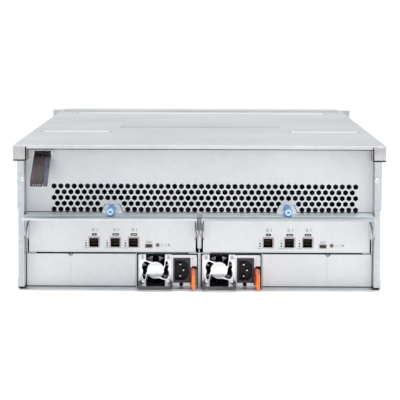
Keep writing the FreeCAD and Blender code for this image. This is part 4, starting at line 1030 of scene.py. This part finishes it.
def face_print(letter, side):
    """Signs of a module's ports, lines over its service socket, and the two service marks."""
    centre = side * MODULE_X
    black = bmesh.new()
    pale = bmesh.new()
    light = bmesh.new()
    for number in (1, 2, 3):
        port_signs(MOUNTS["io_%s_port_%d" % (letter, number)], number, black, pale, light)
    service = MOUNTS["io_%s_service_socket" % letter]
    for line in range(2):
        add_patch(pale, service.x, service.z + 0.0042 + INK_PITCH * line, 0.0070, INK_LINE, FACE_Y)
    add_patch(pale, centre + 0.0607, service.z + 0.0008, 0.0026, 0.0008, FACE_Y, 0.0004)
    add_patch(pale, centre + 0.0650, service.z + 0.0010, 0.0030, 0.0005, FACE_Y, turn=1.0)
    add_patch(black, centre + 0.0692, service.z + 0.0008, 0.0034, 0.0008, FACE_Y, 0.0004, turn=-0.75)
    add_patch(black, centre + 0.0683, service.z + 0.0018, 0.0014, 0.0014, FACE_Y, 0.0007)
    body = "io_module_" + letter
    finish_piece("io_%s_tags" % letter, black, ink_black, body)
    finish_piece("io_%s_signs" % letter, pale, ink_grey, body)
    finish_piece("io_%s_tag_marks" % letter, light, ink_white, body)


for letter, side in LETTERS:
    face_print(letter, side)

# ---- module ports ------------------------------------------------------------------------------
# Each port is a nickel-plated cage folded from sheet, with a collar along two edges of its mouth
# and spring fingers that press outward. Inside it a black block carries two thin tongues with gilt
# contacts. A flat socket and a round jack for service sit beside the last port.


def cage_nickel():
    """Nickel plate with a warm cast and fine fold lines."""
    material, tree, shader = new_material("port_metal", Roughness=0.3, Metallic=1.0)
    grain = place_group(tree, ROLLED_GRAIN, Lines=(900.0, 60.0, 900.0))
    press = place_group(tree, PRESSED_EDGE, Radius=0.0003)
    tone = ramp(tree, grain.outputs["Tone"], ((0.3, (0.42, 0.36, 0.35, 1)), (0.7, (0.62, 0.56, 0.55, 1))))
    tree.links.new(tone, shader.inputs["Base Color"])
    tree.links.new(press.outputs["Normal"], shader.inputs["Normal"])
    return material


port_metal = cage_nickel()
dress(port_metal, "io_a_ports", "io_b_ports")


def contact_gilt():
    """Gilt contact strip, each finger parted by a dark gap."""
    material, tree, shader = new_material("contact_gilt", Roughness=0.3, Metallic=0.9)
    fingers = texture(tree, "TexWave", {"wave_type": "BANDS", "bands_direction": "X"}, Scale=400.0)
    tone = ramp(tree, fingers.outputs["Fac"],
                ((0.35, (0.01, 0.008, 0.007, 1)), (0.6, (0.26, 0.18, 0.09, 1))))
    tree.links.new(tone, shader.inputs["Base Color"])
    return material


GILT = contact_gilt()
socket_black = moulded_plastic("socket_black", (0.022, 0.016, 0.020, 1), (0.010, 0.008, 0.010, 1), 0.45,
                               grey(0.04), grain=0.0003)
PORT_WIDE = 0.0111
PORT_TALL = 0.0107
PORT_SHEET = 0.0009
PORT_BACK = 0.0150
TONGUE_RISE = 0.0024
SPRING_PITCH_X = 0.0034
SPRING_PITCH_Z = 0.0032
JACK_STEP = Vector((0.0107, 0.0, 0.0010))
JACK_PLUG = [(0.0, 0.0012), (0.0008, 0.0012), (0.0008, 0.0001), (0.0010, 0.0), (0.0025, 0.0),
             (0.0027, 0.0002), (0.0027, 0.0010)]


def add_port_inside(port, blocks, shade_liners, gilt):
    """Back block, two contact tongues, and black liners painted as the shade inside one port."""
    half = PORT_WIDE / 2 - 0.0001
    tall = PORT_TALL / 2 - 0.0001
    back = port.y + PORT_BACK
    add_block(blocks, (port.x - half, back, port.z - tall), (port.x + half, back + 0.0045, port.z + tall))
    for rise in (-TONGUE_RISE, TONGUE_RISE):
        level = port.z + rise
        add_block(blocks, (port.x - 0.0044, port.y + 0.0050, level - 0.0005),
                  (port.x + 0.0044, back + 0.0002, level + 0.0005), bevel=0.0002)
        add_block(gilt, (port.x - 0.0040, port.y + 0.0054, level - 0.00058),
                  (port.x + 0.0040, back, level + 0.00058))
    for end in (-1, 1):
        wall_x = port.x + end * (half - 0.0003)
        wall_z = port.z + end * (tall - 0.0003)
        add_block(shade_liners, (wall_x - 0.0002, port.y + 0.0012, port.z - tall),
                  (wall_x + 0.0002, back + 0.0002, port.z + tall))
        add_block(shade_liners, (port.x - half, port.y + 0.0012, wall_z - 0.0002),
                  (port.x + half, back + 0.0002, wall_z + 0.0002))


def add_port_mouth(port, collars, springs):
    """Collar above and beside one port's mouth, and the spring fingers round it."""
    outer_x = PORT_WIDE / 2 + PORT_SHEET
    outer_z = PORT_TALL / 2 + PORT_SHEET
    front, back = port.y + 0.0004, port.y + 0.0008
    add_block(collars, (port.x - outer_x - 0.0002, front, port.z + outer_z - 0.0001),
              (port.x + outer_x + 0.0010, back, port.z + outer_z + 0.0009), bevel=0.00015)
    add_block(collars, (port.x + outer_x - 0.0001, front, port.z - outer_z),
              (port.x + outer_x + 0.0010, back, port.z + outer_z), bevel=0.00015)
    for end in (-1, 1):
        edge_x = port.x + end * (outer_x - 0.0001)
        edge_z = port.z + end * (outer_z - 0.0001)
        for step in (-1, 0, 1):
            x = port.x + SPRING_PITCH_X * step
            z = port.z + SPRING_PITCH_Z * step
            add_block(springs, (x - 0.0010, port.y - 0.0002, edge_z - 0.0002),
                      (x + 0.0010, front, edge_z + 0.0003), bevel=0.00012, segments=1)
            add_block(springs, (edge_x - 0.00025, port.y - 0.0002, z - 0.0009),
                      (edge_x + 0.00025, front, z + 0.0009), bevel=0.00012, segments=1)


def port_details(letter):
    """Insides and mouths of one module's three ports, and its two service sockets."""
    blocks = bmesh.new()
    shade_liners = bmesh.new()
    gilt = bmesh.new()
    springs = bmesh.new()
    collars = bmesh.new()
    for number in (1, 2, 3):
        port = MOUNTS["io_%s_port_%d" % (letter, number)]
        add_port_inside(port, blocks, shade_liners, gilt)
        add_port_mouth(port, collars, springs)
    service = MOUNTS["io_%s_service_socket" % letter]
    add_block(blocks, (service.x - 0.0034, service.y + 0.0012, service.z - 0.0015),
              (service.x + 0.0034, service.y + 0.0050, service.z + 0.0014), bevel=0.0003)
    add_block(gilt, (service.x - 0.0022, service.y + 0.0004, service.z - 0.0003),
              (service.x + 0.0022, service.y + 0.0030, service.z + 0.0003))
    jack = (service.x + JACK_STEP.x, service.y - 0.0001, service.z + JACK_STEP.z)
    add_turned(blocks, jack, (0, 1, 0), JACK_PLUG)
    body = "io_module_" + letter
    finish_piece("io_%s_port_blocks" % letter, blocks, socket_black, body)
    finish_piece("io_%s_port_liners" % letter, shade_liners, deep_black, body)
    finish_piece("io_%s_port_collars" % letter, collars, port_metal, body)
    finish_piece("io_%s_port_contacts" % letter, gilt, GILT, body)
    finish_piece("io_%s_port_springs" % letter, springs, port_metal, body)


for letter, side in LETTERS:
    port_details(letter)

# ---- module levers and thumbscrews -------------------------------------------------------------
# A folded steel lever spans each module: a ledge whose sloping front is painted darker as shade, a lip
# painted lit on one module and shaded on the other, and two arms on shouldered pivots. A long blue
# captive screw, knurled at its head, clamps the lever's tab to the vent panel.
ledge_steel = zinc_sheet("ledge_steel", (0.70, 0.74, 0.755, 1), (0.58, 0.62, 0.635, 1), 0.46, ALONG_X,
                         patches=0.15, lined=0.3)
shaded_slope_steel = zinc_sheet("shaded_slope_steel", (0.50, 0.57, 0.59, 1), (0.40, 0.46, 0.48, 1), 0.50, ALONG_X,
                         patches=0.1)
lit_lip_steel = zinc_sheet("lit_lip_steel", (0.70, 0.73, 0.74, 1), (0.60, 0.63, 0.64, 1), 0.42, ALONG_X,
                        patches=0.1)
shaded_lip_steel = zinc_sheet("shaded_lip_steel", (0.46, 0.51, 0.52, 1), (0.38, 0.43, 0.44, 1), 0.50, ALONG_X, patches=0.1)
dress(ledge_steel, "io_a_lever", "io_b_lever")
SCREW_LOW, SCREW_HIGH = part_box("io_b_thumbscrew")
SCREW_X = (SCREW_LOW.x + SCREW_HIGH.x) / 2
SCREW_Z = (SCREW_LOW.z + SCREW_HIGH.z) / 2
SCREW_RADIUS = (SCREW_HIGH.z - SCREW_LOW.z) / 2
KNURL_LONG = 0.0170
KNURL_TEETH = 20
KNURL_DEPTH = 0.0004
BARREL_Y = SCREW_LOW.y + 0.0010
SHANK_Y = SCREW_LOW.y + 0.0440
SOCKET_Y = SCREW_LOW.y + 0.0008
BARREL = [(0.0, 0.0010), (0.0040, 0.0), (0.0046, 0.0002), (0.0046, 0.0180), (0.0044, 0.0190),
          (0.0044, 0.0400), (0.0048, 0.0405), (0.0048, 0.0440), (0.0040, 0.0450), (0.0, 0.0450)]
FERRULE = [(0.0016, 0.0009), (0.0020, 0.0), (0.0035, 0.0), (0.0040, 0.0010), (0.0040, 0.0016)]
SHANK = [(0.0030, 0.0), (0.0025, 0.0010), (0.0025, 0.0082), (0.0020, 0.0086), (0.0, 0.0086)]
DRIVE_SOCKET = [(0.0018, 0.0), (0.0014, 0.0006), (0.0, 0.0010)]
TAB_FERRULE = [(0.0062, 0), (0.0060, 0.0007), (0.0049, 0.0009), (0.0049, 0.0)]
TAB_Y = PANEL_Y - 0.0018
TAB_FOOT_HALF = 0.0120
TAB_TOP_HALF = 0.0085
TAB_SHADE_RIM = 0.0007
LEDGE_INSET = 0.0006
LEDGE_SKIN = 0.0001
LEDGE_FALL = 0.0010
LEDGE_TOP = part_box("fan_deck")[1].z


def blue_anodising():
    """Blue anodised alloy, turned, with bright fine rings."""
    material, tree, shader = new_material("blue_anodised", Metallic=0.75, Roughness=0.28)
    grain = place_group(tree, ROLLED_GRAIN, Lines=(60.0, 2500.0, 60.0))
    press = place_group(tree, PRESSED_EDGE, Radius=0.0004)
    tone = ramp(tree, grain.outputs["Tone"], ((0.3, (0.05, 0.27, 0.62, 1)), (0.7, (0.12, 0.42, 0.82, 1))))
    # Sharp edges are painted a paler blue as a highlight and as wear.
    edge_wear_and_highlight(tree, shader, tone, press, (0.35, 0.55, 0.95, 1))
    emboss(tree, shader, grain.outputs["Height"], 0.2, 0.0001)
    return material


BLUE = blue_anodising()


def stamped(name, loops, centre, thickness, bevel, material, body):
    """Sheet stamped to its first loop and pierced by the others, standing across Y."""
    curve = bpy.data.curves.new(name, "CURVE")
    curve.dimensions = "2D"
    curve.fill_mode = "BOTH"
    curve.extrude = thickness / 2 - bevel
    curve.bevel_depth = bevel
    curve.bevel_resolution = 2
    curve.offset = -bevel
    for loop in loops:
        spline = curve.splines.new("POLY")
        spline.points.add(len(loop) - 1)
        for point, (x, z) in zip(spline.points, loop):
            point.co = (x, z, 0, 1)
        spline.use_cyclic_u = True
    holder = bpy.data.objects.new(name, curve)
    mesh = bpy.data.meshes.new_from_object(holder)
    bpy.data.objects.remove(holder)
    stand = Matrix.Translation(Vector(centre)) @ Matrix.Rotation(math.radians(90), 4, "X")
    mesh.transform(stand)
    bm = bmesh.new()
    bm.from_mesh(mesh)
    bmesh.ops.remove_doubles(bm, verts=bm.verts, dist=1e-6)
    return finish_piece(name, bm, material, body, smooth=40)


def add_knurled(bm, centre, length, radius, teeth, depth):
    """Barrel along +Y from a centre, its skin cut into straight teeth."""
    rows = []
    for along, drop in ((0.0, 0.0008), (0.0006, 0.0), (length - 0.0006, 0.0), (length, 0.0008)):
        row = []
        for step in range(2 * teeth):
            angle = math.tau * step / (2 * teeth)
            reach = radius - drop - depth * (step % 2)
            row.append(bm.verts.new((centre[0] + reach * math.cos(angle), centre[1] + along,
                                     centre[2] + reach * math.sin(angle))))
        rows.append(row)
    count = 2 * teeth
    for near, far in zip(rows, rows[1:]):
        for step in range(count):
            following = (step + 1) % count
            bm.faces.new((near[step], far[step], far[following], near[following]))
    bm.faces.new(rows[0])
    bm.faces.new(rows[-1])


def thumbscrew(letter, side):
    """Barrel with a knurled head, a plain neck, a steel ferrule and a sunk drive socket."""
    x = side * SCREW_X
    body = "io_%s_thumbscrew" % letter
    blue = bmesh.new()
    add_knurled(blue, (x, BARREL_Y, SCREW_Z), KNURL_LONG, SCREW_RADIUS, KNURL_TEETH, KNURL_DEPTH)
    add_turned(blue, (x, BARREL_Y, SCREW_Z), (0, 1, 0), BARREL)
    barrel = finish_piece(body + "_barrel", blue, BLUE, body)
    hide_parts(body)
    bright = bmesh.new()
    add_turned(bright, (x, SCREW_LOW.y, SCREW_Z), (0, 1, 0), FERRULE)
    add_turned(bright, (x, SHANK_Y, SCREW_Z), (0, 1, 0), SHANK, 16)
    finish_piece(body + "_shank", bright, pin_steel, body)
    socket = bmesh.new()
    add_turned(socket, (x, SOCKET_Y, SCREW_Z), (0, 1, 0), DRIVE_SOCKET, 6)
    finish_piece(body + "_socket", socket, BLUE, body)


def lever_details(letter, side):
    """Ferrule of the lever's tab, a black outline round the tab painted as the shade in its gap, and the
    fold line along the ledge.
    """
    x = side * SCREW_X
    body = "io_%s_lever" % letter
    low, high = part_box(body)
    ferrule = bmesh.new()
    add_turned(ferrule, (x, TAB_Y + 0.0001, SCREW_Z), (0, -1, 0), TAB_FERRULE)
    finish_piece("io_%s_tab_ferrule" % letter, ferrule, pin_steel, body)
    foot = LEDGE_TOP - 0.0002
    wide, narrow = TAB_FOOT_HALF + TAB_SHADE_RIM, TAB_TOP_HALF + TAB_SHADE_RIM
    shoulder, crown = foot + 0.0022, high.z + 0.0004
    loop = [(-wide, foot), (wide, foot), (wide, shoulder), (narrow, crown), (-narrow, crown),
            (-wide, shoulder)]
    stamped("io_%s_tab_seal" % letter, [loop], (x, PANEL_Y - 0.0003, 0), 0.0004, 0.00005, SHADE_BLACK, body)
    crease = bmesh.new()
    add_block(crease, (low.x + 0.0014, low.y + 0.0215, LEDGE_TOP - 0.0002),
              (high.x - 0.0014, low.y + 0.0226, LEDGE_TOP + 0.00025), bevel=0.0002, segments=1)
    finish_piece("io_%s_ledge_crease" % letter, crease, ledge_steel, body)


def ledge_front(letter, lip_steel):
    """Skin of the ledge's sloping front, painted darker as shade, and of its lip in the painted lit or
    shaded tone it is given.
    """
    body = "io_%s_lever" % letter
    low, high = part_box(body)
    left, right = low.x + LEDGE_INSET, high.x - LEDGE_INSET
    near, far = low.y + 0.0004, low.y + 0.0205
    foot = LEDGE_TOP - LEDGE_FALL
    slope = bmesh.new()
    add_bar(slope, [(near, foot + LEDGE_SKIN), (far, LEDGE_TOP + LEDGE_SKIN), (far, LEDGE_TOP - LEDGE_SKIN),
                    (near, foot - LEDGE_SKIN)], left, right, 0.00003)
    finish_piece("io_%s_ledge_slope" % letter, slope, shaded_slope_steel, body)
    lip = bmesh.new()
    add_block(lip, (left, low.y - LEDGE_SKIN, LEDGE_TOP - 0.0034),
              (right, low.y + LEDGE_SKIN, LEDGE_TOP - 0.0012), bevel=0.00005, segments=1)
    finish_piece("io_%s_ledge_lip" % letter, lip, lip_steel, body)


for letter, side in LETTERS:
    thumbscrew(letter, side)
    lever_details(letter, side)
# The lip of module a is painted lit and the lip of module b shaded, as the light falls.
ledge_front("a", lit_lip_steel)
ledge_front("b", shaded_lip_steel)

# ---- power supply cases ------------------------------------------------------------------------
# Two narrow supplies in bare zinc cases with riveted seams, and a black rim at the mouth of the bay
# painted as the shade of the gap round each case. The fan is held by four screws through its finger
# guard, with a dark disc behind it painted as the shade inside the fan, and two black discs painted as the
# shade of sunk screw holes sit in the strip below the mains inlet.
psu_metal = zinc_sheet("psu_metal", (0.81, 0.815, 0.825, 1), (0.68, 0.685, 0.70, 1), 0.36, ALONG_X)
dress(psu_metal, "psu_a_case", "psu_b_case")
FAN_Z = (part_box("psu_a_fan_frame")[0].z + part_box("psu_a_fan_frame")[1].z) / 2
GUARD_HALF = 0.0195
GUARD_HUB = 0.0104
GUARD_SHEET = 0.0010
GUARD_Y = PANEL_Y - 0.0006
GUARD_SCREW = GUARD_HALF - 0.0038
LUG = 0.0078
CROSS_ARMS = ((0.0026, 0.0005), (0.0005, 0.0026))
BEZEL_Z = 0.0187
SHADE_DISC = [(0.0, 0.0), (0.0175, 0.0), (0.0180, 0.0003), (0.0175, 0.0006), (0.0, 0.0006)]
SUNK_SCREW = [(0.0026, 0.0), (0.0023, 0.0002), (0.0, 0.0001)]
SMALL_SUNK_SCREW = [(0.0017, 0.0), (0.0014, 0.0002), (0.0, 0.0001)]
CASE_SHADE_RIM = 0.0013
SEAM_RIVETS = 7
SEAM_PITCH = 0.0265


def guard_steel():
    """Bright nickel-plated stamping, dappled and reflective."""
    material, tree, shader = new_material("guard_metal", Metallic=1.0)
    zinc = place_group(tree, ZINC_PATCHES, Patch_Size=0.004, Contrast=0.15)
    press = place_group(tree, PRESSED_EDGE, Radius=0.0004)
    wipe = place_group(tree, WIPE_MARKS, Amount=0.25)
    tone = ramp(tree, zinc.outputs["Clouds"],
                ((0.3, (0.80, 0.82, 0.84, 1)), (0.7, (0.92, 0.93, 0.94, 1))))
    tree.links.new(tone, shader.inputs["Base Color"])
    tree.links.new(combine(tree, "ADD", wipe.outputs["Smear"], 0.22), shader.inputs["Roughness"])
    tree.links.new(press.outputs["Normal"], shader.inputs["Normal"])
    return material


GUARD_METAL = guard_steel()


def hub_arc(start, end, steps=10):
    """Points on the guard's hub rim between two angles in degrees."""
    angles = [math.radians(start + (end - start) * step / steps) for step in range(steps + 1)]
    return [(GUARD_HUB * math.cos(angle), GUARD_HUB * math.sin(angle)) for angle in angles]


def guard_loops():
    """Outer edge and two bean-shaped openings of the pinwheel guard, about its centre."""
    half = GUARD_HALF
    lug = half - LUG
    upper = [(-half, half), (-lug, half), (-lug, half - 0.0072), (-0.0040, GUARD_HUB - 0.0004)]
    upper += hub_arc(100, 24)
    upper += [(GUARD_HUB + 0.0003, 0.0062), (lug - 0.0002, half - 0.0066), (lug, half), (half, half)]
    outer = upper + [(-x, -y) for x, y in upper]
    bean = hub_arc(128, 186) + [(-0.0116, -0.0044), (-0.0124, -0.0110), (-0.0148, -0.0112),
                                (-0.0162, -0.0060), (-0.0150, -0.0010), (-0.0164, 0.0030), (-0.0162, 0.0070),
                                (-0.0138, 0.0104), (-0.0110, 0.0106)]
    return outer, bean, [(-x, -y) for x, y in bean]


def fan_front(letter, x, fan_back):
    """Finger guard with its screws and their crosses, dark bezel strips, and a dark disc behind the rotor
    painted as the shade inside the fan.
    """
    own = "psu_%s_" % letter
    body = "psu_" + letter
    guard = stamped(own + "guard", guard_loops(), (x, GUARD_Y, FAN_Z), GUARD_SHEET, 0.0002, GUARD_METAL,
                    body)
    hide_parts(own + "fan_guard")
    screws = bmesh.new()
    slots = bmesh.new()
    for across in (-1, 1):
        for up in (-1, 1):
            spot = Vector((x + across * GUARD_SCREW, GUARD_Y - GUARD_SHEET / 2, FAN_Z + up * GUARD_SCREW))
            add_turned(screws, spot, (0, -1, 0), dome(0.0027, 0.0009), 20)
            for wide, tall in CROSS_ARMS:
                # The screw crosses are painted dark as the shade in their slots.
                add_patch(slots, spot.x, spot.z, wide, tall, spot.y - 0.00082, 0.0001, thick=0.00012)
    finish_piece(own + "guard_screws", screws, RIVET_STEEL, body)
    finish_piece(own + "screw_slots", slots, SHADOW_STEEL, body)
    bezel = bmesh.new()
    for end in (-1, 1):
        height = FAN_Z + end * BEZEL_Z
        add_block(bezel, (x - 0.0114, PANEL_Y - 0.0002, height - 0.0012),
                  (x + 0.0114, PANEL_Y + 0.0002, height + 0.0012))
    finish_piece(own + "fan_bezel", bezel, deep_black, body)
    # A dark disc painted as the shade inside the fan.
    fan_shade_disc = bmesh.new()
    add_turned(fan_shade_disc, (x, fan_back + 0.0002, FAN_Z), (0, 1, 0), SHADE_DISC, 32)
    finish_piece(own + "fan_shade_disc", fan_shade_disc, SHADE_BLACK, body)


def case_front(letter):
    """Black discs painted as the shade of two sunk screw holes below the inlet, a black rim painted as the
    shade of the gap round the case, and rivets along its seams.
    """
    own = "psu_%s_" % letter
    body = "psu_" + letter
    case_low, case_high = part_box(own + "case")
    inlet_low, inlet_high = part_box(own + "inlet")
    inlet_x = (inlet_low.x + inlet_high.x) / 2
    # Black discs painted as the shade of two sunk screw holes.
    sunk_shade = bmesh.new()
    add_turned(sunk_shade, (inlet_x - 0.0008, PANEL_Y - 0.0001, case_low.z + 0.0028), (0, -1, 0), SUNK_SCREW)
    add_turned(sunk_shade, (inlet_high.x + 0.0030, PANEL_Y - 0.0001, case_low.z + 0.0030), (0, -1, 0),
               SMALL_SUNK_SCREW)
    finish_piece(own + "sunk_screw_shades", sunk_shade, deep_black, body)
    case_shade_rim = bmesh.new()
    front, back = PANEL_Y - 0.0003, PANEL_Y + 0.0040
    add_block(case_shade_rim, (case_low.x - 0.0001, front, case_high.z - CASE_SHADE_RIM),
              (case_high.x + 0.0001, back, case_high.z + 0.0002))
    for edge, inward in ((case_low.x, 1), (case_high.x, -1)):
        left, right = sorted((edge - inward * 0.0002, edge + inward * CASE_SHADE_RIM))
        add_block(case_shade_rim, (left, front, case_low.z), (right, back, case_high.z))
    finish_piece(own + "case_shade_rim", case_shade_rim, SHADE_BLACK, body)
    seams = bmesh.new()
    for step in range(SEAM_RIVETS):
        for end in (case_low.x + 0.004, case_high.x - 0.004):
            spot = (end, case_low.y + 0.012 + SEAM_PITCH * step, case_high.z)
            add_turned(seams, spot, (0, 0, 1), dome(0.0016, 0.00025), 12)
    finish_piece(own + "seam_rivets", seams, RIVET_STEEL, body)


for letter, side in LETTERS:
    frame_low, frame_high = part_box("psu_%s_fan_frame" % letter)
    fan_front(letter, (frame_low.x + frame_high.x) / 2, frame_high.y)
    case_front(letter)

# ---- mains inlets ------------------------------------------------------------------------------
# A moulded inlet is clipped in each supply: a plum-black flange round a bevelled socket, with three
# bright blades standing inside.
inlet_plastic = moulded_plastic("inlet_plastic", (0.048, 0.034, 0.050, 1), (0.034, 0.024, 0.036, 1), 0.40,
                                (0.10, 0.08, 0.11, 1))


WELL_DEPTH = 0.0150
BLADES = ((-0.0020, -0.0070), (-0.0020, 0.0070), (0.0020, 0.0))
BLADE_WIDE = 0.0020
BLADE_TALL = 0.0018


def rounded_copy(name, node, material, body, width, segments=2):
    """The CAD node's own form with its sharp edges rounded, shown in the node's place."""
    bm = bmesh.new()
    bm.from_mesh(nodes[node].data)
    bmesh.ops.remove_doubles(bm, verts=bm.verts, dist=1e-6)
    bmesh.ops.dissolve_limit(bm, angle_limit=math.radians(2), verts=bm.verts, edges=bm.edges)
    sharp = [edge for edge in bm.edges if len(edge.link_faces) == 2
             and edge.calc_face_angle(0) > math.radians(28)]
    bmesh.ops.bevel(bm, geom=sharp, offset=width, segments=segments, affect="EDGES", profile=0.5,
                    clamp_overlap=True)
    piece = finish_piece(name, bm, material, body, smooth=40)
    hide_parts(node)
    return piece


def inlet(letter):
    """Rounded flange, socket and blades of one inlet."""
    own = "psu_%s_inlet" % letter
    body = "psu_" + letter
    low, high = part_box(own)
    x = (low.x + high.x) / 2
    rounded_copy(own + "_form", own, inlet_plastic, body, 0.0004)
    well = bmesh.new()
    floor_y = PANEL_Y + WELL_DEPTH
    add_block(well, (x - 0.0080, floor_y, FAN_Z - 0.0120), (x + 0.0080, floor_y + 0.0004, FAN_Z + 0.0120))
    finish_piece(own + "_floor", well, socket_black, body)
    blades = bmesh.new()
    for across, up in BLADES:
        left, foot = x + across - BLADE_WIDE / 2, FAN_Z + up - BLADE_TALL / 2
        add_block(blades, (left, PANEL_Y - 0.0008, foot),
                  (left + BLADE_WIDE, floor_y + 0.0002, foot + BLADE_TALL), bevel=0.0004)
    finish_piece(own + "_blades", blades, GUARD_METAL, body)


for letter, side in LETTERS:
    inlet(letter)

# ---- pull loops, latches and lamps -------------------------------------------------------------
# Each supply is drawn out by a black nylon loop once its orange latch is pressed. The latch's paddle
# leans a little to the right and has ribs for the thumb. A white light pipe sits above it, and the
# latch moves in a slot whose dark is a black strip painted as shade.
loop_plastic = moulded_plastic("loop_plastic", (0.085, 0.078, 0.092, 1), (0.055, 0.050, 0.060, 1), 0.5,
                               (0.16, 0.15, 0.17, 1))
orange_plastic = moulded_plastic("orange_plastic", (1.0, 0.20, 0.030, 1), (0.90, 0.13, 0.015, 1), 0.35,
                                 (1.0, 0.33, 0.10, 1), bump=0.1)
lens_plastic = moulded_plastic("lens_white", (0.90, 0.90, 0.91, 1), (0.84, 0.84, 0.86, 1), 0.3,
                               (0.95, 0.95, 0.95, 1), bump=0.05)
LATCH_LEAN = 0.070
LATCH_RIBS = 6
LATCH_RIB_PITCH = 0.0022


def hand_parts(letter):
    """Rounded loop, ribbed latch with a leaning paddle, light pipe, and a black strip painted as the shade
    in the latch slot of one supply.
    """
    own = "psu_%s_" % letter
    body = "psu_" + letter
    rounded_copy(own + "loop_form", own + "pull_loop", loop_plastic, body, 0.0009, 3)
    latch = rounded_copy(own + "latch_form", own + "latch", orange_plastic,
                         body + "_latch", 0.0006, 3)
    for vert in latch.data.vertices:
        vert.co.x += LATCH_LEAN * max(0.0, PANEL_Y - vert.co.y)
    rounded_copy(own + "lens_form", own + "status_lens", lens_plastic, body, 0.0005, 3)
    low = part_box(own + "latch")[0]
    grip = bmesh.new()
    for step in range(LATCH_RIBS):
        y = low.y + 0.0030 + LATCH_RIB_PITCH * step
        x = low.x + LATCH_LEAN * (PANEL_Y - y)
        add_block(grip, (x - 0.0001, y, low.z + 0.0015), (x + 0.0006, y + 0.0009, low.z + 0.0070),
                  bevel=0.0002, segments=1)
    finish_piece(own + "latch_ribs", grip, orange_plastic, body + "_latch")
    lens_low, lens_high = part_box(own + "status_lens")
    # A black strip painted as the shade in the latch's slot.
    slot = bmesh.new()
    add_block(slot, (lens_low.x, PANEL_Y - 0.0002, lens_low.z - 0.0042),
              (lens_high.x - 0.0006, PANEL_Y + 0.0001, lens_low.z - 0.0006))
    finish_piece(own + "latch_shade_slot", slot, deep_black, body)


for letter, side in LETTERS:
    hand_parts(letter)
